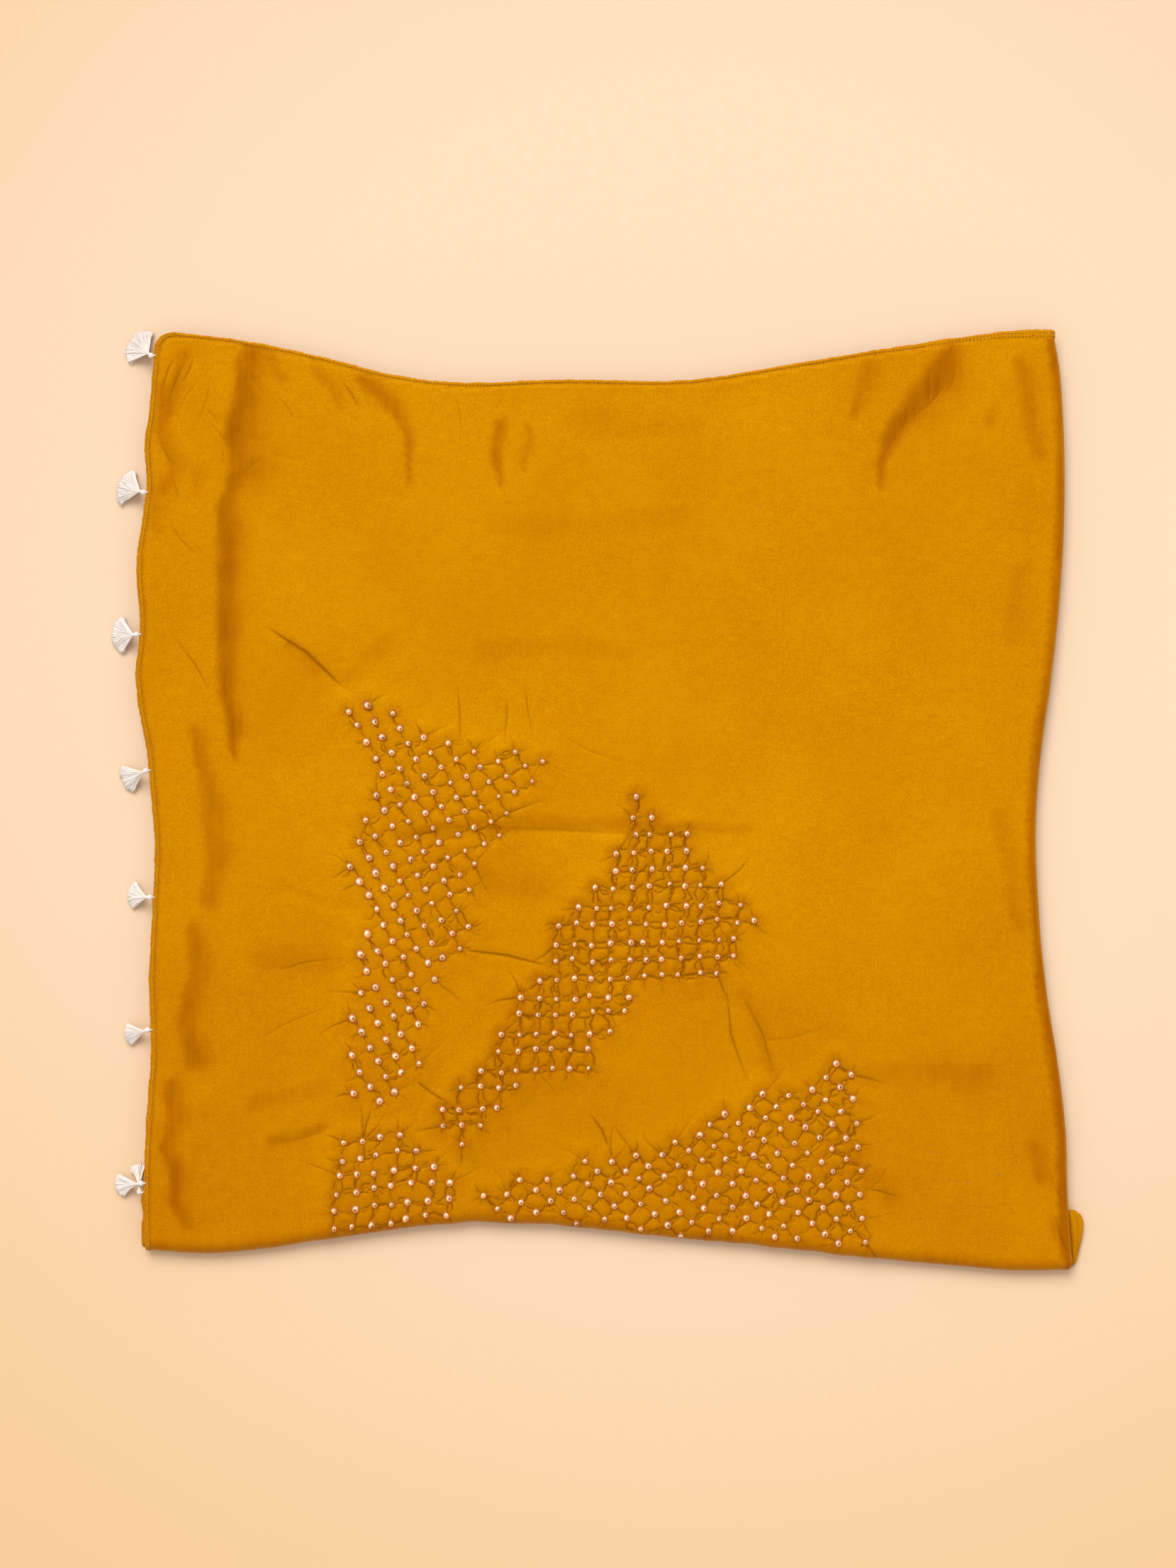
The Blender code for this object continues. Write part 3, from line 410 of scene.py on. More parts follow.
def soft_noise(flat, size, seed):
    """Smooth noise from -1 to 1 over the plane, with lumps about as wide as size."""
    cell = np.asarray(flat) / size
    base = np.floor(cell)
    t = cell - base
    t = t * t * (3 - 2 * t)

    def value(i, j):
        wave = np.sin((base[:, 0] + i) * 127.1 + (base[:, 1] + j) * 311.7 + seed * 74.7) * 43758.5453
        return 2 * (wave - np.floor(wave)) - 1

    low = value(0, 0) * (1 - t[:, 0]) + value(1, 0) * t[:, 0]
    high = value(0, 1) * (1 - t[:, 0]) + value(1, 1) * t[:, 0]
    return low * (1 - t[:, 1]) + high * t[:, 1]


def bell(away, width, power=2):
    """A soft falloff from 1, down to about a third at that width."""
    return np.exp(-((away / width) ** power))


def distance_to_line(flat, start, end):
    """How far each point lies from a line between two points, and how far along, from 0 to 1."""
    run = end - start
    along = np.clip((flat - start) @ run / max(run @ run, 1e-12), 0, 1)
    return np.linalg.norm(flat - start - along[:, None] * run, axis=1), along


def soft_rise(flat):
    """How far the cloth stands up between its soft folds."""
    x, y = flat[:, 0], flat[:, 1]
    to_edge = np.minimum.reduce(
        (x - left_edge(y), right_edge(y) - x, y - bottom_edge(x), top_edge(x) - y)
    )
    puff = 1 - bell(np.maximum(to_edge - BOTTOM_FOLD_RADIUS, 0), PUFF_REACH)
    dips = np.zeros(len(flat))
    for x0, y0, x1, y1, width, height in FOLDS:
        away, _ = distance_to_line(flat, np.array((x0, y0)) * MM, np.array((x1, y1)) * MM)
        dips += height * MM * bell(away, width * MM)
    raised = PUFF + dips
    return 0.5 * (raised + np.sqrt(raised**2 + (0.25 * MM) ** 2)) * puff


def band_shade(flat, path):
    """How dark a band along a path is at each point: steep on its left, soft on its right."""
    band = np.zeros(len(flat))
    for first, last in zip(path[:-1], path[1:]):
        start, end = np.array(first[:2]) * MM, np.array(last[:2]) * MM
        away, along = distance_to_line(flat, start, end)
        run = end - start
        side = run[0] * (flat[:, 1] - start[1]) - run[1] * (flat[:, 0] - start[0])
        if run[1] > 0:
            side = -side
        near_left = first[2] + along * (last[2] - first[2])
        near_right = first[3] + along * (last[3] - first[3])
        width = np.where(side < 0, near_left, near_right) * MM
        power = np.where(side < 0, 4.0, 2.0)
        band = np.maximum(band, bell(away, 1.05 * width, power))
    return band


def fold_shade(flat):
    """How far painted shade darkens the lustre at each point, from 0 to 1: in soft folds, along the edges."""
    drift = np.column_stack((soft_noise(flat, 23 * MM, 21), soft_noise(flat, 19 * MM, 22)))
    drift += 0.5 * np.column_stack((soft_noise(flat, 8 * MM, 24), soft_noise(flat, 9 * MM, 25)))
    moved = flat + 2.4 * MM * drift
    shade = np.zeros(len(flat))
    for strength, *path in DARK_BANDS:
        shade = 1 - (1 - shade) * (1 - strength * band_shade(moved, path))
    x, y = flat[:, 0], flat[:, 1]
    right = np.maximum(right_edge(y) - x, -0.01)
    bottom = np.maximum(y - bottom_edge(x), -0.01)
    roll = 3.0 * MM + 0.8 * MM * soft_noise(flat, 30 * MM, 27)
    # Painted shade along the rolled right and bottom edges, then darker towards the bottom and the left edge
    shade += 0.85 * bell(right - 3.6 * MM, roll, 4)
    shade += 0.42 * bell(bottom - 3.6 * MM, 1.25 * roll)
    lower = np.clip((-10 * MM - y) / (190 * MM), 0, 1)
    shade += 0.24 * lower * lower * (3 - 2 * lower)
    shade += 0.08 * bell(x - left_edge(y), 90 * MM)
    shade *= 0.86 + 0.14 * soft_noise(flat, 13 * MM, 23)
    return np.clip(shade + 0.05 * soft_noise(flat, 34 * MM, 26), 0, 1)


def lay_on_stack(flat, lift):
    """Points of the flat cloth, lifted off its inner side, with both folds turned over."""
    x, y = flat[:, 0], flat[:, 1]
    fold_x = right_edge(y) - RIGHT_FOLD_RADIUS
    fold_y = bottom_edge(x) + BOTTOM_FOLD_RADIUS
    over_x = np.maximum(0, (x - fold_x) / RIGHT_FOLD_RADIUS)
    over_y = np.maximum(0, (fold_y - y) / BOTTOM_FOLD_RADIUS)
    turn = np.hypot(over_x, over_y)
    share_x = np.divide(over_x, turn, out=np.zeros(len(flat)), where=turn > 0)
    share_y = np.divide(over_y, turn, out=np.zeros(len(flat)), where=turn > 0)
    radius_x = RIGHT_FOLD_RADIUS - WALL + lift
    radius_y = BOTTOM_FOLD_RADIUS - WALL + lift
    radius = share_x**2 * radius_x + share_y**2 * radius_y
    placed_x = np.minimum(x, fold_x) + radius_x * np.sin(turn) * share_x
    placed_y = np.maximum(y, fold_y) - radius_y * np.sin(turn) * share_y
    height = INNER_SIDE + soft_rise(flat) + lift - radius * (1 - np.cos(turn))
    return np.column_stack((placed_x, placed_y, height))


def inside_outline(flat, outline):
    """Which points lie inside a closed outline."""
    x, y = flat[:, 0], flat[:, 1]
    inside = np.zeros(len(flat), bool)
    for (x0, y0), (x1, y1) in zip(outline, np.roll(outline, -1, axis=0)):
        crosses = (y0 > y) != (y1 > y)
        if y0 != y1:
            inside ^= crosses & (x < (x1 - x0) * (y - y0) / (y1 - y0) + x0)
    return inside


def steps_between(start, end, step):
    return np.linspace(start, end, max(2, round(abs(end - start) / step) + 1))


def corner_curve(start, corner, end, count):
    """Points round a corner, without its two ends."""
    t = np.linspace(0, 1, count + 2)[1:-1, None]
    return (1 - t) ** 2 * start + 2 * t * (1 - t) * corner + t**2 * end


# The tied dots and the creases between them

def lattice(field):
    """The dots of one field by their steps along and across its lattice, and both steps."""
    origin, along, across, outline = (np.array(part, float) * MM for part in DOT_FIELDS[field][:4])
    span = range(-FIELD_STEPS, FIELD_STEPS)
    steps = np.array([(i, j) for i in span for j in span])
    nodes = origin + steps[:, :1] * along + steps[:, 1:] * across
    first, second = JITTER_WAVES
    jitter = np.column_stack((np.sin(nodes @ first), np.cos(nodes @ second)))
    kept = inside_outline(nodes, outline)
    drift = np.column_stack((soft_noise(nodes, 17 * MM, 31), soft_noise(nodes, 15 * MM, 32)))
    drift += 0.5 * np.column_stack((soft_noise(nodes, 3.1 * MM, 33), soft_noise(nodes, 2.7 * MM, 34)))
    uneven = DOT_DRIFT * (0.8 + 0.5 * DOT_FIELDS[field][4])
    places = (nodes + DOT_JITTER * jitter + uneven * drift)[kept]
    return {tuple(step): place for step, place in zip(steps[kept], places)}, along, across


def make_dots():
    """Place, size, tilt, turn and the field's painted shade of every tied dot."""
    rows = []
    for field, facts in DOT_FIELDS.items():
        nodes, _, _ = lattice(field)
        for place in nodes.values():
            size = DOT_SIZE * facts[5] * MM * RNG.uniform(0.8, 1.12)
            if field == "crescent":
                size *= np.interp(place[0], (-150 * MM, -65 * MM), (1.05, DOT_SMALLEST))
            tilt = RNG.normal(1.95 if field == "crescent" else 1.5, 0.4)
            rows.append((*place, size, tilt, RNG.uniform(0, 2 * math.pi), FIELD_SHADE[field]))
    return np.array(rows)


def toward(angle):
    """The direction at an angle in the plane."""
    return np.array((math.cos(angle), math.sin(angle)))


def turned(way, angle):
    """A direction in the plane, turned by an angle."""
    c, s = math.cos(angle), math.sin(angle)
    return np.array((way[0] * c - way[1] * s, way[0] * s + way[1] * c))


def crease_row(start, end, bow, width, depth, fade, pull):
    """One crease: start, bow's middle, end, half width, depth, fade and pull on the cells."""
    run = end - start
    side = np.array((-run[1], run[0])) / max(np.linalg.norm(run), 1e-9)
    middle = (start + end) / 2 + side * bow
    return (*start, *middle, *end, width, depth, fade, pull)


def net_creases(place, near, way, drawn, strength):
    """The crooked crease between two neighbouring dots, and the short ones beside it."""
    side = turned(way, math.pi / 2) / np.linalg.norm(way)
    width = RNG.uniform(0.34, 0.62) * MM
    bend = (0.5 + 2.0 * drawn) * MM
    halfway = place + RNG.uniform(0.38, 0.62) * (near - place) + RNG.normal(0, 0.6) * bend * side
    rows = []
    for first, second in ((place, halfway), (halfway, near)):
        depth = 0.85 * MM * strength * RNG.uniform(0.7, 1.1)
        bow = RNG.normal(0, 0.5) * bend
        rows.append(crease_row(first, second, bow, width, depth, WHOLE, strength))
    for _ in range(RNG.binomial(2, 0.75 * drawn)):
        offset = side * RNG.choice((-1, 1)) * RNG.uniform(1.4, 3.4) * MM
        first = place + way * RNG.uniform(0.0, 0.3) + 0.4 * offset
        second = near - way * RNG.uniform(0.0, 0.3) + offset
        bow, width, depth = RNG.normal(0, 1.3), RNG.uniform(0.3, 0.48), RNG.uniform(0.25, 0.7)
        rows.append(crease_row(first, second, bow * MM, width * MM, depth * MM, TAPERED, 0.1))
    return rows


def dot_creases(place):
    """The short creases that run out from under one dot on all sides."""
    rows = []
    for _ in range(RNG.integers(3, 6)):
        angle = RNG.uniform(0, 2 * math.pi)
        tail = place + turned((RNG.uniform(3.0, 5.6) * MM, 0), angle)
        bow, width, depth = RNG.normal(0, 0.5), RNG.uniform(0.3, 0.45), RNG.uniform(0.3, 0.75)
        rows.append(crease_row(place, tail, bow * MM, width * MM, depth * MM, FADING, 0.05))
    return rows


def edge_creases(place, way):
    """The creases that run out of a field from a dot at its edge."""
    rows = []
    for _ in range(RNG.integers(1, 4)):
        out = turned(way, RNG.normal(0, 0.5))
        length = RNG.choice(EDGE_CREASE_LENGTHS, p=EDGE_CREASE_ODDS)
        tail = place + out * length * RNG.uniform(0.8, 1.25)
        depth, bow, width = RNG.uniform(0.15, 0.5), RNG.normal(0, 1.1), RNG.uniform(0.45, 0.95)
        rows.append(crease_row(place, tail, bow * MM, width * MM, depth * MM, FADING, 0))
    return rows


def make_creases():
    """Every crease of the tied fields, and the long thin ones."""
    rows = []
    for field, facts in DOT_FIELDS.items():
        nodes, along, across = lattice(field)
        drawn = facts[4]
        for (i, j), place in nodes.items():
            for step, way in (((1, 0), along), ((0, 1), across)):
                near = nodes.get((i + step[0], j + step[1]))
                if near is None:
                    continue
                strength = RNG.uniform(0.2, 1.0) * (0.65 + 0.35 * drawn)
                if field == "crescent" and step == (0, 1):
                    strength *= np.interp(place[0], (-140 * MM, -90 * MM), (0.3, 0.8))
                if strength >= FAINTEST_CREASE:
                    rows += net_creases(place, near, way, drawn, strength)
            rows += dot_creases(place)
            for step, way in (((1, 0), along), ((-1, 0), -along), ((0, 1), across), ((0, -1), -across)):
                if (i + step[0], j + step[1]) not in nodes:
                    rows += edge_creases(place, way)
    for x0, y0, x1, y1, bow, width, depth in THIN_CREASES:
        start, end = np.array((x0, y0)) * MM, np.array((x1, y1)) * MM
        rows.append(crease_row(start, end, bow * MM, width * MM, depth * MM, TAPERED, 0))
    return np.array(rows)


def cells_of(flat):
    """The points' numbers by the square that they lie in."""
    keys = np.floor(flat / SEARCH_CELL).astype(int)
    order = np.lexsort((keys[:, 1], keys[:, 0]))
    breaks = np.nonzero(np.any(np.diff(keys[order], axis=0), axis=1))[0] + 1
    return {tuple(keys[group[0]]): group for group in np.split(order, breaks)}


def near_box(cells, low, high):
    """Numbers of the points in the squares that a box touches."""
    i0, j0 = np.floor(low / SEARCH_CELL).astype(int)
    i1, j1 = np.floor(high / SEARCH_CELL).astype(int)
    found = [cells[i, j] for i in range(i0, i1 + 1) for j in range(j0, j1 + 1) if (i, j) in cells]
    return np.concatenate(found) if found else np.zeros(0, int)


def along_crease(flat, row):
    """How far each point lies from a crease, and the crease's strength there as it fades."""
    first, along_first = distance_to_line(flat, row[0:2], row[2:4])
    second, along_second = distance_to_line(flat, row[2:4], row[4:6])
    along = np.where(first < second, along_first / 2, 0.5 + along_second / 2)
    if row[8] == FADING:
        strength = np.sqrt(np.maximum(1 - along, 0))
    elif row[8] == TAPERED:
        strength = np.sqrt(np.maximum(np.sin(along * math.pi), 0))
    else:
        strength = np.ones(len(flat))
    return np.minimum(first, second), strength


def relief_of(flat, dots, creases):
    """How far the tied dots and creases raise each point, and its painted shade: in creases, round dots and
    in fields.
    """
    cells = cells_of(flat)
    to_dot = np.full(len(flat), FAR)
    cone, shaded = np.zeros((2, len(flat)))
    for x, y, _, _, _, field_shade in dots:
        place = np.array((x, y))
        near = near_box(cells, place - 3 * SEARCH_CELL, place + 3 * SEARCH_CELL)
        away = np.linalg.norm(flat[near] - place, axis=1)
        shaded[near] = np.where(away < to_dot[near], field_shade, shaded[near])
        to_dot[near] = np.minimum(to_dot[near], away)
        cone[near] = np.maximum(cone[near], bell(away, CONE_WIDTH))
    pillow = np.ones(len(flat))
    groove, crest = np.zeros((2, len(flat)))
    for row in creases:
        ends = row[:6].reshape(3, 2)
        width, depth, _, pull = row[6:]
        reach = 3.2 * MM * (pull > 0) + 5 * width
        near = near_box(cells, ends.min(axis=0) - reach, ends.max(axis=0) + reach)
        if not len(near):
            continue
        away, strength = along_crease(flat[near], row)
        ridge = 0.30 * depth * strength * bell(away - 2.5 * width, 1.2 * width)
        crest[near] = np.maximum(crest[near], ridge)
        groove[near] = np.maximum(groove[near], depth * strength * bell(away, width, 1.3))
        if pull > 0:
            pillow[near] *= 1 - 0.7 * pull * strength * bell(away, 2.6 * MM)
    inside = bell(np.maximum(to_dot - 6 * MM, 0), PILLOW_REACH)
    lift = PILLOW_RISE * inside * pillow + CONE_RISE * cone - groove * (1 - 0.7 * cone)
    lift += crest * (groove < 0.25 * MM)
    # Painted shade in the creases' grooves and round each dot, and the fields' painted shade
    shade = np.clip((groove - 0.08 * MM) / (0.30 * MM), 0, 1) ** 1.2
    shade = np.maximum(shade, 0.45 * bell(to_dot, 2.9 * MM, 4))
    return lift, shade, shaded * bell(np.maximum(to_dot - 4.5 * MM, 0), 3.0 * MM)


def undulation(flat):
    """The cloth's slight unevenness."""
    broad = 0.32 * soft_noise(flat, 62 * MM, 1) + 0.16 * soft_noise(flat, 27 * MM, 2)
    return (broad + 0.07 * soft_noise(flat, 11 * MM, 3)) * MM


# The cloth that shows

def turned_points(share, step):
    """Points that lie a share of the way round both folds, from the lower left to the upper right."""
    fold_y = bottom_edge(FAR) + BOTTOM_FOLD_RADIUS
    corner = right_edge(fold_y) - RIGHT_FOLD_RADIUS
    x = steps_between(left_edge(-FAR) + END_HEM_WIDTH, corner, step)
    y = steps_between(fold_y, top_edge(FAR) - SIDE_HEM_WIDTH, step)
    bottom_level = BOTTOM_FOLD_RADIUS * (1 - share * BOTTOM_FOLD_TURN)
    right_level = RIGHT_FOLD_RADIUS * (1 - share * RIGHT_FOLD_TURN)
    bottom = np.column_stack((x, bottom_edge(x) + bottom_level))
    right = np.column_stack((right_edge(y) - right_level, y))
    angle = np.radians(np.arange(9, 90, 9))
    fold_x, fold_y = bottom[-1, 0], right[0, 1]
    over_x = share * RIGHT_FOLD_TURN * RIGHT_FOLD_RADIUS * np.sin(angle)
    over_y = share * BOTTOM_FOLD_TURN * BOTTOM_FOLD_RADIUS * np.cos(angle)
    turned = np.column_stack((fold_x + over_x, fold_y - over_y))
    return np.concatenate((bottom, turned if share else turned[:0], right))


def panel_outline(step, levels):
    """The edge of the flat cloth, under the middle of its hems, from the lower left round."""
    rim = turned_points(1.0, step)
    share = np.arange(levels - 1, 0, -1) / levels
    fold_x = right_edge(FAR) - RIGHT_FOLD_RADIUS
    over = fold_x + share * RIGHT_FOLD_TURN * RIGHT_FOLD_RADIUS
    x = np.concatenate((over, steps_between(fold_x, TOP_EDGE[0][0] * MM, step)))
    top = np.column_stack((x, top_edge(x) - SIDE_HEM_WIDTH))
    fold_y = bottom_edge(-FAR) + BOTTOM_FOLD_RADIUS
    over = fold_y - share[::-1] * BOTTOM_FOLD_TURN * BOTTOM_FOLD_RADIUS
    y = np.concatenate((steps_between(LEFT_EDGE[-1][0] * MM, fold_y, step), over))
    left = np.column_stack((left_edge(y) + END_HEM_WIDTH, y))
    rounded = corner_curve(top[-1], np.array((left[0, 0], top[-1, 1])), left[0], 8)
    return np.concatenate((rim, top, rounded, left))


def crease_points(creases):
    """Rows of points along each crease: its line, and both of its sides."""
    points = []
    for row in creases:
        start, middle, end = row[0:2], row[2:4], row[4:6]
        for a, b in ((start, middle), (middle, end)):
            run = b - a
            length = np.linalg.norm(run)
            if length < 0.5 * MM:
                continue
            side = np.array((-run[1], run[0])) / length
            t = np.linspace(0, 1, max(2, round(length / CREASE_STEP) + 1))[:, None]
            for share in (0, -1.0, 1.0, -2.4, 2.4):
                points.append(a + t * run + share * row[6] * side)
    return np.concatenate(points)


def dot_points(dots):
    """Rings of points round each dot."""
    points = [dots[:, :2]]
    for radius, count in DOT_POINTS:
        for turn in np.arange(count) * 2 * math.pi / count:
            points.append(dots[:, :2] + radius * MM * np.array((math.cos(turn), math.sin(turn))))
    return np.concatenate(points)


def hex_grid(step, outline):
    """An even grid of points inside the outline, each row set off by half a step."""
    (left, low), (right, high) = GRID_CORNERS
    x = np.arange(left, right, step)
    y = np.arange(low, high, step * math.sqrt(0.75))
    across, up = np.meshgrid(x, y)
    across[::2] += step / 2
    grid = np.column_stack((across.ravel(), up.ravel()))
    return grid[inside_outline(grid, outline)]


def add_spaced(kept, extra, spacing):
    """The kept points, with each extra one that lies far enough from all of those before it."""
    squares = {}
    limit = spacing**2
    for x, y in kept:
        squares.setdefault((int(x // spacing), int(y // spacing)), []).append((x, y))
    added = []
    for x, y in extra:
        i, j = int(x // spacing), int(y // spacing)
        near = (squares.get((i + a, j + b), ()) for a in (-1, 0, 1) for b in (-1, 0, 1))
        if all((x - u) ** 2 + (y - v) ** 2 > limit for group in near for u, v in group):
            squares.setdefault((i, j), []).append((x, y))
            added.append((x, y))
    return np.concatenate((kept, np.array(added).reshape(-1, 2)))


def fill_outline(points, outline_count):
    """Triangles over the points inside the outline that the first points make."""
    outline = list(range(outline_count))
    made = delaunay_2d_cdt([tuple(p) for p in points], [], [outline], 1, 1e-7)
    position = {old: new for new, olds in enumerate(made[3]) for old in olds}
    flat = np.array([tuple(v) for v in made[0]])
    return flat, [tuple(face) for face in made[2]], [position[i] for i in outline]


def new_piece(name, vertices, faces, material):
    """A smooth mesh object with its faces turned outward, riding on the part's one body."""
    mesh = bpy.data.meshes.new(name)
    mesh.from_pydata(np.asarray(vertices).tolist(), [], faces)
    build = bmesh.new()
    build.from_mesh(mesh)
    bmesh.ops.recalc_face_normals(build, faces=build.faces)
    build.to_mesh(mesh)
    build.free()
    mesh.shade_smooth()
    mesh.materials.append(material)
    piece = bpy.data.objects.new(name, mesh)
    bpy.context.scene.collection.objects.link(piece)
    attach(piece, "root")
    return piece


def add_values(piece, name, values):
    """A number for each point of a mesh, which its material reads."""
    layer = piece.data.attributes.new(name, "FLOAT", "POINT")
    layer.data.foreach_set("value", np.asarray(values, np.float32))


def outer_points(base, outline, dots, creases):
    """Points of the outer side: dense at the dots and creases, fewer in the plain cloth."""
    fine = np.concatenate((dot_points(dots), crease_points(creases)))
    points = add_spaced(base, fine[inside_outline(fine, outline)], SMALLEST_SPACING)
    grid = hex_grid(CELL_GRID, outline)
    to_dot = np.full(len(grid), FAR)
    cells = cells_of(grid)
    for place in dots[:, :2]:
        near = near_box(cells, place - 2 * SEARCH_CELL, place + 2 * SEARCH_CELL)
        to_dot[near] = np.minimum(to_dot[near], np.linalg.norm(grid[near] - place, axis=1))
    points = add_spaced(points, grid[to_dot < CELL_REACH], CELL_SPACING)
    return add_spaced(points, hex_grid(PLAIN_GRID, outline), PLAIN_SPACING)


def make_cloth(dots, creases, material):
    """The top layer: a thin shell with the folds, the drawn cells and the creases in it."""
    outline = panel_outline(EDGE_STEP, FOLD_LEVELS)
    levels = [turned_points(level / FOLD_LEVELS, EDGE_STEP) for level in range(FOLD_LEVELS)]
    base = add_spaced(outline, np.concatenate(levels), EDGE_SPACING)
    flat, faces, rim = fill_outline(outer_points(base, outline, dots, creases), len(outline))
    lift, shade, field = relief_of(flat, dots, creases)
    outer = lay_on_stack(flat, WALL + lift + undulation(flat))
    inner_points = add_spaced(base, hex_grid(INNER_GRID, outline), INNER_SPACING)
    inner_flat, inner_faces, inner_rim = fill_outline(inner_points, len(outline))
    inner = lay_on_stack(inner_flat, np.full(len(inner_flat), INNER_LIFT))
    inner[:, 2] -= soft_rise(inner_flat)
    shift = len(outer)
    faces += [tuple(shift + i for i in reversed(face)) for face in inner_faces]
    for i in range(len(outline)):
        j = (i + 1) % len(outline)
        faces.append((rim[j], rim[i], shift + inner_rim[i], shift + inner_rim[j]))
    piece = new_piece("silk_top", np.concatenate((outer, inner)), faces, material)
    # The painted shade of folds, lustre and fields, and of creases, which the silk material reads
    fold = 1 - (1 - fold_shade(flat)) * (1 - field)
    for name, values in (("crease", shade), ("fold", fold)):
        add_values(piece, name, np.concatenate((values, np.zeros(len(inner)))))
    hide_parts("top_panel")
    x, y = outline.T
    area = 0.5 * abs(np.sum(x * np.roll(y, -1) - y * np.roll(x, -1)))
    return piece, outline, area


def close_rings(faces, start, rings, sides):
    """Adds the sides and both ends of a bar whose rings of points follow one another."""
    for ring in range(rings - 1):
        low = start + ring * sides
        for i in range(sides):
            j = (i + 1) % sides
            faces.append((low + i, low + j, low + sides + j, low + sides + i))
    last = start + rings * sides
    faces.append(tuple(range(start + sides - 1, start - 1, -1)))
    faces.append(tuple(range(last - sides, last)))


# The tied dots

def dot_colour(flat, spot, hole, slit, hole_size):
    """Colours over one dot, by the place in it: 1 is its rim. The spot is its painted highlight."""
    away = np.linalg.norm(flat, axis=1)
    foot, rim, body, highlight_colour, dark = map(np.array, (DOT_FOOT, DOT_RIM, DOT_BODY, DOT_PAINTED_HIGHLIGHT, DOT_HOLE))

    def blend(first, second, share):
        return first + np.clip(share, 0, 1)[:, None] * (second - first)

    colour = blend(body * np.ones((len(flat), 1)), rim, (away - 0.56) / 0.26)
    colour = blend(colour, foot, (away - 1.0) / 0.16)
    # A painted highlight at the spot, and painted shade in the rim's colour on the side away from it
    colour = blend(colour, highlight_colour, 1.25 * bell(np.linalg.norm(flat - spot, axis=1), 0.34))
    shade_away_from_highlight = np.clip(-(flat @ spot) / max(np.linalg.norm(spot), 0.1), 0, 1)
    colour = blend(colour, rim, 0.75 * shade_away_from_highlight * (away < 0.98))
    from_hole = flat - hole
    from_hole = from_hole - 0.6 * (from_hole @ slit)[:, None] * slit
    return blend(colour, dark, bell(np.linalg.norm(from_hole, axis=1), hole_size, 4))


def dot_shape(turns, tilt, phase):
    """The points of one dot from above, 1 being its size: an uneven oval, turned by its tilt."""
    wobble = 1 + 0.10 * np.sin(2 * turns + phase) + 0.10 * np.sin(3 * turns + 2.3 * phase)
    wobble += 0.07 * np.sin(5 * turns + 4.1 * phase)
    narrow = RNG.uniform(0.66, 0.94)
    rings = []
    for share, _ in DOT_RINGS:
        edge = wobble ** (0.4 + 0.6 * share)
        rings.append(np.column_stack((share * edge * np.cos(turns), narrow * share * edge * np.sin(turns))))
    return np.concatenate(rings) @ np.array((toward(tilt), toward(tilt + math.pi / 2)))


def make_tied_dots(dots, creases, material):
    """One joined mesh of every dot: an oval knob of undyed silk, rimmed, with a small brown hole, a painted
    highlight and painted shade.
    """
    lift, _, _ = relief_of(dots[:, :2], dots, creases)
    ground = WALL + lift + undulation(dots[:, :2])
    turns = np.arange(DOT_SIDES) * 2 * math.pi / DOT_SIDES
    heights = np.repeat([height for _, height in DOT_RINGS], DOT_SIDES)
    vertices, faces, colours = [], [], []
    for (x, y, size, tilt, phase, _), base in zip(dots, ground):
        shape = dot_shape(turns, tilt, phase)
        # The side of the dot where its highlight is painted
        highlight_side = RNG.normal(DOT_HIGHLIGHT_SIDE, 0.45)
        spot = RNG.uniform(0.18, 0.36) * toward(highlight_side)
        aside = RNG.normal(-0.9, 0.7)
        hole = RNG.uniform(0.02, 0.26) * toward(aside)
        hole_size = RNG.uniform(0.12, 0.24)
        dip = bell(np.linalg.norm(shape - hole, axis=1), 0.30)
        uneven = 1 + 0.14 * np.sin(2.1 * shape[:, 0] + phase) * np.sin(2.7 * shape[:, 1] + 2 * phase)
        rise = base + MM * (np.where(heights > 0, heights * uneven, heights) - 0.5 * dip)
        close_rings(faces, len(vertices), len(DOT_RINGS), DOT_SIDES)
        vertices += lay_on_stack(np.array((x, y)) + size * shape, rise).tolist()
        tone = RNG.uniform(0.82, 1.06)
        slit = RNG.uniform(0.5, 1.0) * toward(tilt)
        colours.append(np.clip(tone * dot_colour(shape, spot, hole, slit, hole_size), 0, 1))
    piece = new_piece("tied_dots", vertices, faces, material)
    # Each point's dye colour, with the painted highlight and painted shade
    layer = piece.data.attributes.new("dye_and_painted_light", "FLOAT_COLOR", "POINT")
    colours = np.concatenate(colours)
    layer.data.foreach_set("color", np.column_stack((colours, np.ones(len(colours)))).ravel())
    return piece


# Hems and their stitches

def loft(sections):
    """Vertices and faces of a closed bar through sections that have the same number of points."""
    faces = []
    close_rings(faces, 0, len(sections), len(sections[0]))
    return np.concatenate(sections), faces


def along_path(path, step):
    """The path's points, evenly spaced, with how far along it each one lies."""
    runs = np.linalg.norm(np.diff(path, axis=0), axis=1)
    far = np.concatenate(((0,), np.cumsum(runs)))
    at = np.linspace(0, far[-1], max(2, round(far[-1] / step) + 1))
    return np.column_stack((np.interp(at, far, path[:, 0]), np.interp(at, far, path[:, 1]))), at


def inward_of(path):
    """The direction across the path, to its left as it is walked."""
    run = np.gradient(path, axis=0)
    run /= np.linalg.norm(run, axis=1)[:, None]
    return np.column_stack((-run[:, 1], run[:, 0]))


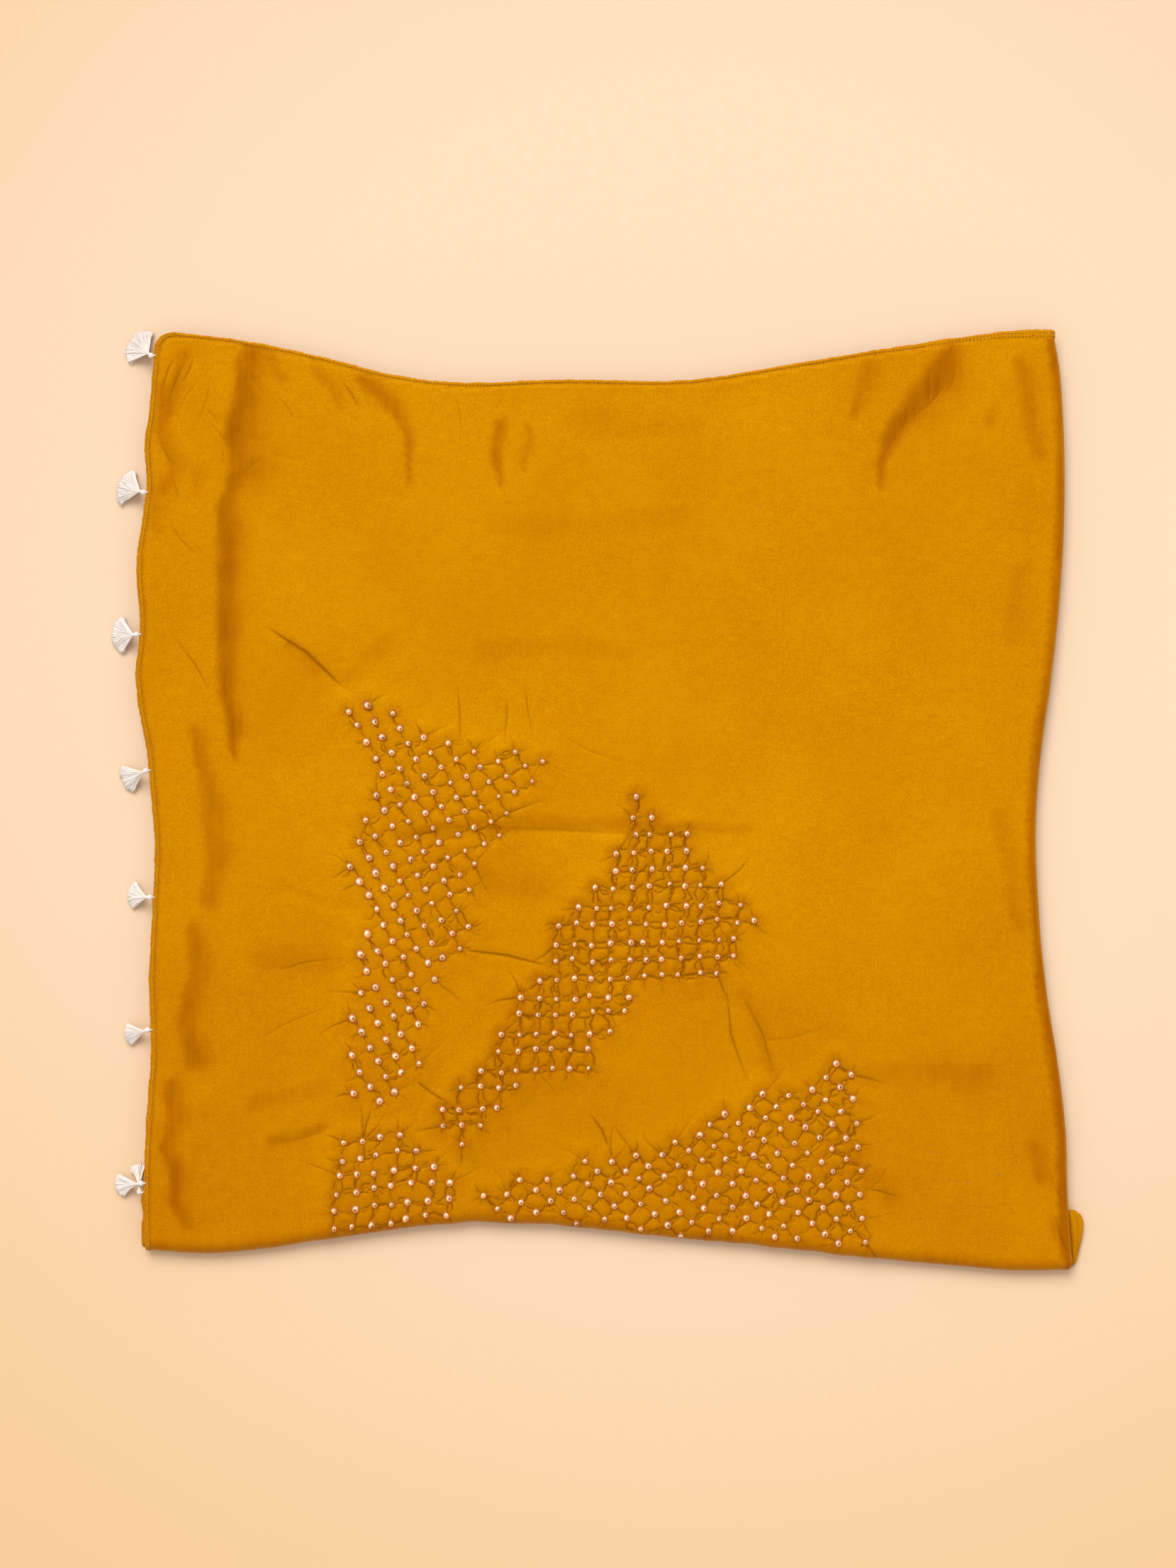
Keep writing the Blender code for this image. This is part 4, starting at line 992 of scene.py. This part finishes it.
def make_hem(name, node, path, widths, low, high, pitch, rows, material, spots):
    """A rolled hem along a path, puckered by its stitches, which are added to the spots."""
    path, at = along_path(path, pitch / 3)
    inward = inward_of(path)
    waver = np.column_stack((at, np.zeros(len(at))))
    sideways = 0.28 * MM * soft_noise(waver, 7 * MM, 5) + 0.20 * MM * soft_noise(waver, 1.9 * MM, 6)
    pull = 0.5 + 0.5 * np.cos(2 * math.pi * at / pitch)
    swell = 1 + 0.12 * soft_noise(waver, 9 * MM, 7)
    widths = np.array(widths).T
    wide = np.interp(at / at[-1], *widths)
    sides = []
    for across, up in HEM_SECTION:
        flat = path + (sideways * (1 - across) + across * wide)[:, None] * inward
        lift = low + up * (high - low) * swell - np.clip(up, 0, 1) * 0.14 * MM * pull
        sides.append(lay_on_stack(flat, lift))
    piece = new_piece(name, *loft(np.array(sides).transpose(1, 0, 2)), material)
    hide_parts(node)
    for share, run_share in rows:
        for number in range(int(int(at[-1] / pitch) * run_share)):
            spot = (number + 0.5 + RNG.normal(0, 0.06)) * pitch
            here = np.array([np.interp(spot, at, axis) for axis in path.T])
            nearest = min(int(spot / at[-1] * (len(at) - 1)), len(at) - 2)
            side = inward[nearest]
            aside = share * np.interp(spot / at[-1], *widths) + 0.5 * sideways[nearest]
            middle = here + (aside + RNG.normal(0, 0.14) * MM) * side
            run = turned((side[1], -side[0]), RNG.normal(0, 0.22))
            top = high * (swell[nearest] if high > 0 else 1)
            spots.append((*middle, *run, top, pitch * RNG.uniform(0.7, 1.25)))
    return piece


def make_stitches(spots, material):
    """One joined mesh of short thread stitches: place, direction, height and pitch of each."""
    turns = np.arange(STITCH_SIDES) * 2 * math.pi / STITCH_SIDES
    vertices, faces = [], []
    for x, y, run_x, run_y, height, pitch in spots:
        flat, lift = [], []
        for share, radius in STITCH_RINGS:
            ahead = share * STITCH_SHARE * pitch
            for turn in turns:
                across = STITCH_RADIUS * radius * math.cos(turn)
                flat.append((x + ahead * run_x - across * run_y, y + ahead * run_y + across * run_x))
                lift.append(height + STITCH_RADIUS * (0.15 + radius * math.sin(turn)))
        close_rings(faces, len(vertices), len(STITCH_RINGS), STITCH_SIDES)
        vertices += lay_on_stack(np.array(flat), np.array(lift)).tolist()
    piece = new_piece("hem_stitches", vertices, faces, material)
    return piece


def end_hem_path():
    """The tasselled end hem's outer edge: round the upper left corner, down, over the fold."""
    start = np.array((TOP_EDGE[0][0] * MM, top_edge(-FAR)))
    fold = bottom_edge(-FAR) + BOTTOM_FOLD_RADIUS
    y = np.linspace(LEFT_EDGE[-1][0] * MM, fold - BOTTOM_FOLD_RADIUS * END_HEM_TURN, 500)
    side = np.column_stack((left_edge(y), y))
    corner = np.array((side[0, 0], start[1]))
    return np.concatenate((start[None], corner_curve(start, corner, side[0], 14), side))


def side_hem_path():
    """The long side's outer edge, from over the right fold to the upper left corner."""
    fold = right_edge(FAR) - RIGHT_FOLD_RADIUS
    x = np.linspace(fold + RIGHT_FOLD_RADIUS * SIDE_HEM_TURN, TOP_EDGE[0][0] * MM, 500)
    return np.column_stack((x, top_edge(x)))


def under_hem_path():
    """The stretch of the lower end hem that stands out at the lower left."""
    stands_out = smooth_curve(UNDER_HEM)
    fold = bottom_edge(-FAR) + BOTTOM_FOLD_RADIUS
    y = np.linspace(UNDER_HEM[-1][0] * MM, fold - BOTTOM_FOLD_RADIUS * math.radians(90), 60)
    return np.column_stack((left_edge(y) - stands_out(y), y))


def make_hems(silk, thread):
    """The three rolled hems and the stitches in them."""
    thick = HEM_THICKNESS
    rolls = (
        ("end_roll", "end_hem", end_hem_path(), END_WIDTHS, 0, thick, END_PITCH, END_ROWS),
        ("side_roll", "side_hem", side_hem_path(), SIDE_WIDTHS, 0, thick, SIDE_PITCH, SIDE_ROWS),
        ("under_roll", "under_hem", under_hem_path(), UNDER_WIDTHS, -thick - SEAM_GAP, -SEAM_GAP,
         END_PITCH, UNDER_ROWS),
    )
    spots = []
    made = [make_hem(*roll, silk, spots) for roll in rolls]
    return [*made, make_stitches(spots, thread)]


# The hidden layers and the corner flap

def right_inset(height):
    """The hidden layers' two folds on the right: the lower one free, the upper one in the wall."""
    half = LOWER_FOLD_RADIUS
    rounded = RIGHT_FOLD_RADIUS - WALL - 0.5 * MM
    centre = PANEL_TOP - RIGHT_FOLD_RADIUS
    if height <= 2 * half:
        return LOWER_FOLD_INSET + half - math.sqrt(max(0, half**2 - (height - half) ** 2))
    if height < centre - rounded:
        return RIGHT_FOLD_RADIUS + 0.5 * MM
    return RIGHT_FOLD_RADIUS - math.sqrt(max(0, rounded**2 - (height - centre) ** 2))


def bottom_inset(height):
    """The hidden layers inside the bottom fold, flat where they rest."""
    rounded = BOTTOM_FOLD_RADIUS - WALL - 0.4 * MM
    if height < BOTTOM_FOLD_RADIUS - rounded:
        return BOTTOM_FOLD_RADIUS
    return BOTTOM_FOLD_RADIUS - math.sqrt(max(0, rounded**2 - (height - BOTTOM_FOLD_RADIUS) ** 2))


def layer_levels():
    """Layer, height, left inset and top inset of each ring of the hidden layers."""
    left, top = (inset * MM + 0.5 * MM for inset in LAYER_INSETS[0])
    levels = [(0, 0.0, left, top)]
    for layer, (left, top) in enumerate(LAYER_INSETS):
        folded_up = (layer + 1, layer + 2) in FOLDED_PAIRS
        folded_down = (layer, layer + 1) in FOLDED_PAIRS
        for share in (0.06, 0.25, 0.5, 0.75, 0.94):
            depth = LAYER_GROOVE * abs(2 * share - 1) ** 3
            joined = (folded_up and share > 0.5) or (folded_down and share < 0.5)
            left_depth = 0.15 * depth if joined else depth
            levels.append((layer, (layer + share) * LAYER_PITCH, left * MM + left_depth, top * MM + depth))
    return levels


def layer_ring(layer, height, left, top):
    """One level round the hidden layers, from the lower left round."""
    right, bottom = right_inset(height), bottom_inset(height)
    low, high = bottom_edge(-FAR) + bottom, top_edge(-FAR) - top
    near, far = left_edge(-FAR) + left, right_edge(-FAR) - right
    cut = 7 * MM
    count = 150
    x = np.linspace(near + cut, far - cut, count)
    lower = np.column_stack((x, bottom_edge(x) + bottom))
    y = np.linspace(lower[-1, 1] + cut, top_edge(FAR) - top - cut, count)
    right_side = np.column_stack((right_edge(y) - right, y))
    x = np.linspace(right_side[-1, 0] - cut, TOP_EDGE[0][0] * MM + left, count)
    wave = 0.35 * MM * soft_noise(np.column_stack((x, np.full(count, layer * 0.1))), 24 * MM, 11)
    upper = np.column_stack((x, top_edge(x) - top - np.abs(wave)))
    y = np.linspace(high - 2 * cut, low + cut, count)
    wave = 0.45 * MM * soft_noise(np.column_stack((y, np.full(count, layer * 0.1))), 19 * MM, 12)
    left_side = np.column_stack((left_edge(y) + left + np.abs(wave), y))
    sides = (lower, right_side, upper, left_side)
    corners = (
        (right_side[0, 0], lower[-1, 1]), (right_side[-1, 0], upper[0, 1]),
        (left_side[0, 0], upper[-1, 1]), (left_side[-1, 0], lower[0, 1]),
    )
    ring = []
    for i, side in enumerate(sides):
        following = sides[(i + 1) % len(sides)]
        ring += [side, corner_curve(side[-1], np.array(corners[i]), following[0], 6)]
    ring = np.concatenate(ring)
    return np.column_stack((ring, np.full(len(ring), height)))


def make_hidden_layers(material):
    """The seven layers below as one rounded solid, with a rolled ridge round it for each."""
    piece = new_piece("silk_layers", *loft([layer_ring(*level) for level in layer_levels()]), material)
    piece.data.set_sharp_from_angle(angle=math.radians(60))
    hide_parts("under_layers")
    return piece


def make_corner_flap(material):
    """The loop of an inner fold at the lower right: thin silk bent round, with soft creases, and painted
    shade in its opening and its creases.
    """
    outer_side = smooth_curve(CORNER_FLAP)
    bend = np.linspace(math.pi / 2, -math.pi / 2, 23)
    lowest, highest = CORNER_FLAP[0][0], CORNER_FLAP[-1][0]
    sections, shade = [], []
    for along in np.linspace(lowest, highest, 60):
        y = along * MM
        inner = right_edge(y) - SEAM_GAP
        rounding = math.sqrt(max(1 - max(1 - (along - lowest) / 4.5, 0) ** 2, 0.04))
        reach = max(outer_side(y) - inner, 1.8 * MM) * rounding
        half = FLAP_HALF_HEIGHT * (1 - 0.45 * bell(along - lowest, 7)) * rounding
        dents = 0.16 * bell(bend - 0.75 - 0.012 * (along + 273), 0.16)
        dents += 0.07 * bell(bend - 0.15 + 0.02 * (along + 273), 0.12)
        outer = np.column_stack((reach * np.cos(bend), half * np.sin(bend))) * (1 - dents)[:, None]
        hollow = 1 - 0.5 * MM / np.array((reach, half))
        out, up = np.concatenate((outer, outer[::-1] * hollow)).T
        sections.append(np.column_stack((inner + out, np.full(len(out), y), FLAP_MIDDLE + up)))
        # Painted shade along the flap's inner side, where its opening lies in shadow, and in its dents
        gap_shade_width = FLAP_GAP_SHADE_WIDTH * (0.5 + 0.5 * math.sin(math.pi * (along - lowest) / 35))
        dented = dents[0] + 4 * np.concatenate((dents, dents[::-1]))
        shade.append(bell(out, gap_shade_width) + 0.35 * dented)
    piece = new_piece("silk_flap", *loft(sections), material)
    add_values(piece, "crease", np.clip(np.concatenate(shade), 0, 1))
    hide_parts("corner_flap")
    return piece


# The tassels

def tube(points, radii, sides, vertices, faces):
    """Adds a closed tube of a few sides round a line of points."""
    run = np.gradient(points, axis=0)
    run /= np.linalg.norm(run, axis=1)[:, None] + 1e-12
    beside = np.cross(run, UP)
    beside /= np.linalg.norm(beside, axis=1)[:, None] + 1e-9
    above = np.cross(beside, run)
    close_rings(faces, len(vertices), len(points), sides)
    for place, u, v, radius in zip(points, beside, above, radii):
        for turn in np.arange(sides) * 2 * math.pi / sides:
            vertices.append(tuple(place + radius * (math.cos(turn) * u + math.sin(turn) * v)))


def add_threads(neck, heading, spread, length, vertices, faces):
    """Adds the threads of a fan, which leave the neck close together and end in clumps."""
    beside = np.array((-math.sin(heading), math.cos(heading), 0.0))
    clumps = np.linspace(-0.86, 0.86, CLUMPS) + RNG.normal(0, 0.05, CLUMPS)
    longest = 1 + RNG.normal(0, 0.045, CLUMPS)
    shares = np.linspace(0, 1, 9)
    for _ in range(THREADS):
        clump = RNG.integers(CLUMPS)
        across = np.clip(clumps[clump] + RNG.normal(0, 0.10), -1, 1)
        level = RNG.uniform(-1, 1)
        reach = length * (longest[clump] + RNG.normal(0, 0.022)) * (1 - 0.10 * across**2)
        sway = RNG.normal(0, 0.045) * shares
        sway += RNG.normal(0, 0.028) * np.sin(RNG.uniform(4, 8) * shares + RNG.uniform(0, 6)) * shares
        angle = heading + across * spread * (0.55 + 0.45 * shares**0.5) + sway
        radial = 0.15 * MM + reach * shares
        thick = (0.35 + 1.6 * shares**0.6) * MM * (1 - 0.35 * across**2)
        thick *= np.sqrt(np.clip(1.12 - shares**6, 0, 1))
        height = TIP_HEIGHT + (neck[2] - TIP_HEIGHT) * (1 - shares) ** 1.5 + level * thick
        height += 0.16 * MM * np.sin(6 * shares + 20 * across)
        line = np.column_stack((neck[0] + radial * np.cos(angle), neck[1] + radial * np.sin(angle), height))
        line[0] = neck + 0.45 * MM * (across * beside + level * UP)
        line[:, 2] = np.maximum(line[:, 2], LOWEST_THREAD)
        radii = THREAD_RADIUS * np.interp(shares, (0, 0.3, 1), (0.7, 0.9, 1.1)) * RNG.uniform(0.85, 1.1)
        tube(line, radii, 4, vertices, faces)


def fan_backing(neck, heading, spread, length, vertices, faces):
    """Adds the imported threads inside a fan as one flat, ribbed wedge."""
    start = len(vertices)
    across = np.linspace(-0.97, 0.97, FAN_RIBS)
    shares = np.linspace(0.02, 0.955, 9)
    angle = heading + across * spread
    ribbed = 0.72 + 0.3 * np.sin(9 * across + 3 * heading) * np.sin(31 * across + heading)
    for level in (1, -1):
        for share in shares:
            half = (0.30 + 0.65 * share**0.7) * MM * (1 - 0.35 * across**2) * ribbed
            middle = TIP_HEIGHT + (neck[2] - TIP_HEIGHT) * (1 - share) ** 1.5
            reach = 0.5 * MM + length * share
            x, y = neck[0] + reach * np.cos(angle), neck[1] + reach * np.sin(angle)
            vertices += np.column_stack((x, y, middle + level * half)).tolist()

    def at(level, row, rib):
        return start + (level * len(shares) + row) * FAN_RIBS + rib

    last_row, last_rib = len(shares) - 1, FAN_RIBS - 1
    for row in range(last_row):
        for rib in range(last_rib):
            faces.append((at(0, row, rib), at(0, row, rib + 1), at(0, row + 1, rib + 1), at(0, row + 1, rib)))
            faces.append((at(1, row, rib), at(1, row + 1, rib), at(1, row + 1, rib + 1), at(1, row, rib + 1)))
        for rib in (0, last_rib):
            faces.append((at(0, row, rib), at(0, row + 1, rib), at(1, row + 1, rib), at(1, row, rib)))
    for row in (0, last_row):
        for rib in range(last_rib):
            faces.append((at(0, row, rib), at(1, row, rib), at(1, row, rib + 1), at(0, row, rib + 1)))


def coil(middle, ahead, forward, swell, rounds, radius, vertices, faces):
    """Adds thread wound round the tassel's line, from one place along it to another."""
    wrap = np.linspace(0, 2 * math.pi * rounds, len(forward))
    line = middle + forward[:, None] * ahead + (swell * np.cos(wrap))[:, None] * np.cross(UP, ahead)
    line += (swell * np.sin(wrap))[:, None] * UP
    tube(line, np.full(len(line), radius), 5, vertices, faces)


def make_tassel(number, knot, heading, spread, length, hem_point, material):
    """A wrapped knot, its neck, a fan of cotton threads and the loop that holds it to the hem."""
    ahead = np.array((*toward(heading), 0.0))
    neck = knot + ahead * 1.15 * KNOT_RADIUS
    vertices, faces = [], []
    add_threads(neck, heading, spread, length, vertices, faces)
    fan_backing(neck, heading, spread, length, vertices, faces)
    forward = np.linspace(-0.78, 0.78, 84) * KNOT_RADIUS
    swell = np.sqrt(KNOT_RADIUS**2 - forward**2) - 0.1 * MM
    coil(knot, ahead, forward, swell, 6, WRAP_RADIUS, vertices, faces)
    core = np.linspace(-1, 1, 9)
    radii = 0.9 * KNOT_RADIUS * np.sqrt(np.maximum(1 - core**2, 0.02))
    tube(knot + (core * KNOT_RADIUS)[:, None] * ahead, radii, 12, vertices, faces)
    coil(neck, ahead, np.linspace(-0.54, 0.36, 40) * MM, 0.72 * MM, 3, LOOP_RADIUS, vertices, faces)
    back = knot - 0.7 * KNOT_RADIUS * ahead
    over = np.array((*((back[:2] + hem_point[:2]) / 2), hem_point[2] + 1.3 * MM))
    t = np.linspace(0, 1, 12)[:, None]
    for side in (-0.35, 0.35):
        loop = (1 - t) ** 2 * back + 2 * t * (1 - t) * over + t**2 * hem_point
        loop = loop + side * MM * np.sin(math.pi * t) * np.array((0.3, 1.0, 0.0))
        tube(loop, np.full(len(loop), LOOP_RADIUS), 5, vertices, faces)
    piece = new_piece(f"cotton_tassel_{number}", vertices, faces, material)
    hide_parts(f"tassel_{number}")
    return piece


def make_tassels(material):
    """The seven tassels of the end hem, and the eighth on the lower layer's hem."""
    made = []
    rows = [(*row, KNOT_HEIGHT, 0.0, HEM_THICKNESS) for row in TASSELS]
    stands_out = smooth_curve(UNDER_HEM)(UNDER_TASSEL[0] * MM)
    rows.append((*UNDER_TASSEL, UNDER_KNOT_HEIGHT, stands_out, -SEAM_GAP))
    for number, (along, heading, spread, length, height, out, lift) in enumerate(rows, start=1):
        y = along * MM
        edge = left_edge(y) - out
        knot = np.array((edge - KNOT_RADIUS - KNOT_GAP, y, height))
        hem_point = np.array((edge + 1.2 * MM, y + 0.2 * MM, INNER_SIDE + lift - 0.1 * MM))
        fan = (math.radians(heading), math.radians(spread), length * MM)
        made.append(make_tassel(number, knot, *fan, hem_point, material))
    return made


# Materials

class Look:
    """A material in the making: its nodes, its shader and the object's own coordinates."""

    def __init__(self, name, colour, roughness, specular):
        self.material = bpy.data.materials.new(name)
        self.material.use_nodes = True
        self.nodes = self.material.node_tree.nodes
        self.shader = self.nodes["Principled BSDF"]
        self.shade({"Base Color": colour, "Roughness": roughness, "Specular IOR Level": specular})
        self.place = self.nodes.new("ShaderNodeTexCoord").outputs["Object"]

    def feed(self, socket, value):
        """Links a node's output to an input, or sets the input's own value."""
        if isinstance(value, bpy.types.NodeSocket):
            self.material.node_tree.links.new(value, socket)
        else:
            socket.default_value = (*value, 1) if socket.type == "RGBA" else value

    def shade(self, inputs):
        """Feeds the shader's inputs by their names."""
        for name, value in inputs.items():
            self.feed(self.shader.inputs[name], value)

    def node(self, kind, inputs, **settings):
        """A new node with its settings, and its inputs by name or number."""
        made = self.nodes.new(f"ShaderNode{kind}")
        for name, value in settings.items():
            setattr(made, name, value)
        for name, value in inputs.items():
            self.feed(made.inputs[name], value)
        return made

    def stretched(self, scale):
        """The coordinates stretched by a scale for each axis."""
        return self.node("Mapping", {"Vector": self.place, "Scale": scale}).outputs["Vector"]

    def noise(self, scale, detail=2.0, roughness=0.5):
        """Soft noise. A scale for each axis draws it out into streaks."""
        place = self.place
        if isinstance(scale, tuple):
            place = self.stretched(scale)
            scale = 1.0
        inputs = {"Vector": place, "Scale": scale, "Detail": detail, "Roughness": roughness}
        return self.node("TexNoise", inputs).outputs["Fac"]

    def maths(self, operation, *values, clamp=False):
        """The result of one sum on outputs or plain numbers."""
        return self.node("Math", dict(enumerate(values)), operation=operation, use_clamp=clamp).outputs[0]

    def mixed(self, share, first, second):
        """One colour turned into another by a share from 0 to 1."""
        return self.node("Mix", {0: share, 6: first, 7: second}, data_type="RGBA").outputs[2]

    def distance(self, place, spot):
        """How far each point lies from a spot."""
        return self.node("VectorMath", {0: place, 1: spot}, operation="DISTANCE").outputs["Value"]

    def ramp(self, value, span, ends, kind="LINEAR"):
        """A value whose run over a span is turned into a run between two ends."""
        inputs = {"Value": value, "From Min": span[0], "From Max": span[1]}
        inputs |= {"To Min": ends[0], "To Max": ends[1]}
        return self.node("MapRange", inputs, interpolation_type=kind).outputs["Result"]

    def attribute(self, name):
        """A value that the mesh holds for each of its points."""
        return self.node("Attribute", {}, attribute_name=name).outputs

    def bump(self, height, strength, distance):
        """Raises the surface by a height, over the bump that it has already."""
        made = self.node("Bump", {"Height": height, "Strength": strength, "Distance": distance})
        for earlier in self.shader.inputs["Normal"].links:
            self.feed(made.inputs["Normal"], earlier.from_socket)
        self.shade({"Normal": made.outputs["Normal"]})


def weave(look, pitch):
    """Height of a plain weave of that pitch, from warp and weft bands."""
    inputs = {"Vector": look.place, "Scale": 0.314 / pitch}
    inputs |= {"Distortion": 1.2, "Detail": 1.0, "Detail Scale": 0.6}
    bands = [look.node("TexWave", inputs, bands_direction=way).outputs["Fac"] for way in ("X", "Y")]
    return look.maths("MULTIPLY", *bands)


def silk_material(name, colour):
    """Plain-woven silk: slubs, grain and lustre, with painted shade where the cloth is creased or folded."""
    look = Look(name, colour, 0.44, 0.32)
    broad = look.noise(14, 3.0)
    slub_across = look.noise((120, 900, 120), 2.0, 0.6)
    slub_along = look.noise((900, 150, 150), 2.0, 0.6)
    lumps = look.noise(170, 2.0, 0.6)
    grain = look.noise(1150, 3.0, 0.7)
    tone = 0.0
    for part, share in ((slub_across, 0.5), (slub_along, 0.45), (grain, 3.0), (lumps, 0.5), (broad, 0.9)):
        part = look.maths("MULTIPLY", look.maths("SUBTRACT", part, 0.5), share)
        tone = look.maths("ADD", part, tone)
    tone = look.maths("ADD", tone, 0.5, clamp=True)
    dark, light = (tuple(np.multiply(shade, colour)) for shade in (SILK_DARK, SILK_LIGHT))
    cloth = look.mixed(tone, dark, light)
    # Painted shade of the folds and the lustre, broken into streaks, then painted shade in the creases
    streaks = look.maths("MULTIPLY_ADD", look.noise((300, 38, 60), 3.0, 0.65), 0.8, 0.6)
    fold_shade_share = look.maths("MULTIPLY", look.attribute("fold")["Fac"], FOLD_SHADE, clamp=True)
    cloth = look.mixed(look.maths("MULTIPLY", fold_shade_share, streaks, clamp=True), cloth, PAINTED_FOLD_SHADE)
    crease_shade_share = look.maths("MULTIPLY", look.attribute("crease")["Fac"], CREASE_SHADE, clamp=True)
    cloth = look.mixed(crease_shade_share, cloth, PAINTED_CREASE_SHADE)
    seen_flat = look.stretched((1, 1, 0))
    for (x, y), reach in SPECKS:
        away = look.distance(seen_flat, (x * MM, y * MM, 0))
        ragged = look.maths("MULTIPLY_ADD", grain, 1.6 * MM, away)
        worn = look.ramp(ragged, (0.7 * MM, (1.1 + reach) * MM), (SPECK_SHADE, 0.0))
        cloth = look.mixed(worn, cloth, SPECK)
    look.shade({"Base Color": cloth, "Specular Tint": LUSTRE, "Sheen Tint": LUSTRE})
    look.shade({"Sheen Weight": 0.03, "Sheen Roughness": 0.4})
    height = look.maths("MULTIPLY", weave(look, 0.42 * MM), 0.35)
    wrinkle = look.noise(95, 5.0, 0.62)
    for part, share in ((slub_across, 0.4), (slub_along, 0.4), (wrinkle, 5.0), (grain, 1.2)):
        height = look.maths("ADD", height, look.maths("MULTIPLY", part, share))
    look.bump(height, 0.45, 0.14 * MM)
    lines = look.maths("SUBTRACT", look.noise((62, 48, 55), 4.0, 0.55), 0.5)
    lines = look.maths("MINIMUM", look.maths("ABSOLUTE", lines), 0.09)
    look.bump(lines, 0.6, 1.5 * MM)
    return look.material


def dye_and_painted_light_material():
    """Undyed silk of the tied dots, coloured point by point with their dye and their painted highlight and
    shade.
    """
    look = Look("tied_silk", (0.9, 0.7, 0.5), 0.6, 0.12)
    share = look.maths("MULTIPLY", look.noise(900, 3.0, 0.6), 0.16)
    look.shade({"Base Color": look.mixed(share, look.attribute("dye_and_painted_light")["Color"], DYED_GRAIN)})
    look.bump(look.noise(900, 3.0), 0.7, 0.3 * MM)
    return look.material


def thread_material(name, colour, roughness, twist):
    """Spun thread: fine twist lines and a slightly uneven colour."""
    look = Look(name, colour, roughness, 0.15)
    dark = tuple(0.86 * c for c in colour)
    look.shade({"Base Color": look.mixed(look.noise(420, 3.0), dark, colour), "Sheen Weight": 0.2})
    look.bump(look.noise(twist), 0.5, 0.08 * MM)
    return look.material


def floor_material():
    """Plain pale paper, with painted shade a little deeper in tone away from a painted pool of light."""
    look = Look("pale_floor", FLOOR_COLOUR, 0.8, 0.1)
    share = look.ramp(look.distance(look.place, LIGHT_POOL), POOL_EDGE, (0.0, 1.0), "SMOOTHSTEP")
    look.shade({"Base Color": look.mixed(share, FLOOR_COLOUR, FLOOR_PAINTED_SHADE)})
    return look.material


# The stage

def make_stage():
    """The floor, the soft light from the top left and the camera straight above."""
    floor = bpy.data.meshes.new("floor")
    sides = ((-1, -1), (1, -1), (1, 1), (-1, 1))
    corners = [(x * FLOOR_REACH, y * FLOOR_REACH, FLOOR_LEVEL) for x, y in sides]
    floor.from_pydata(corners, [], [(0, 1, 2, 3)])
    floor.materials.append(floor_material())
    plane = bpy.data.objects.new("floor", floor)
    bpy.context.scene.collection.objects.link(plane)
    world = bpy.data.worlds.new("soft_room")
    world.use_nodes = True
    background = world.node_tree.nodes["Background"]
    background.inputs["Color"].default_value = (*ROOM_COLOUR, 1)
    background.inputs["Strength"].default_value = ROOM_STRENGTH
    bpy.context.scene.world = world
    for name, place, spread, power, colour in LAMPS:
        light = bpy.data.lights.new(name, "SUN")
        light.angle = math.radians(spread)
        light.energy = power
        light.color = colour
        lamp = bpy.data.objects.new(name, light)
        lamp.location = place
        lamp.rotation_euler = (-Vector(place)).to_track_quat("-Z", "Y").to_euler()
        bpy.context.scene.collection.objects.link(lamp)
    camera = bpy.data.cameras.new("camera")
    camera.lens = LENS
    camera.sensor_width = SENSOR
    camera.clip_end = 20
    eye = bpy.data.objects.new("camera", camera)
    eye.location = (*FRAME_MIDDLE, PANEL_TOP + FRAME_HEIGHT * LENS / SENSOR)
    bpy.context.scene.collection.objects.link(eye)
    bpy.context.scene.camera = eye
    bpy.context.scene.view_settings.view_transform = "Standard"


def main():
    make_stage()
    silk = silk_material("silk", SILK)
    rolled = silk_material("rolled_silk", ROLLED_SILK)
    stitched = thread_material("stitch_thread", STITCH_THREAD, 0.6, 2500)
    cotton = thread_material("cotton", COTTON, 0.9, 2200)
    dots = make_dots()
    creases = make_creases()
    cloth, outline, area = make_cloth(dots, creases, silk)
    tied = make_tied_dots(dots, creases, dye_and_painted_light_material())
    hems = make_hems(rolled, stitched)
    layers = make_hidden_layers(silk)
    flap = make_corner_flap(silk)
    tassels = make_tassels(cotton)


main()
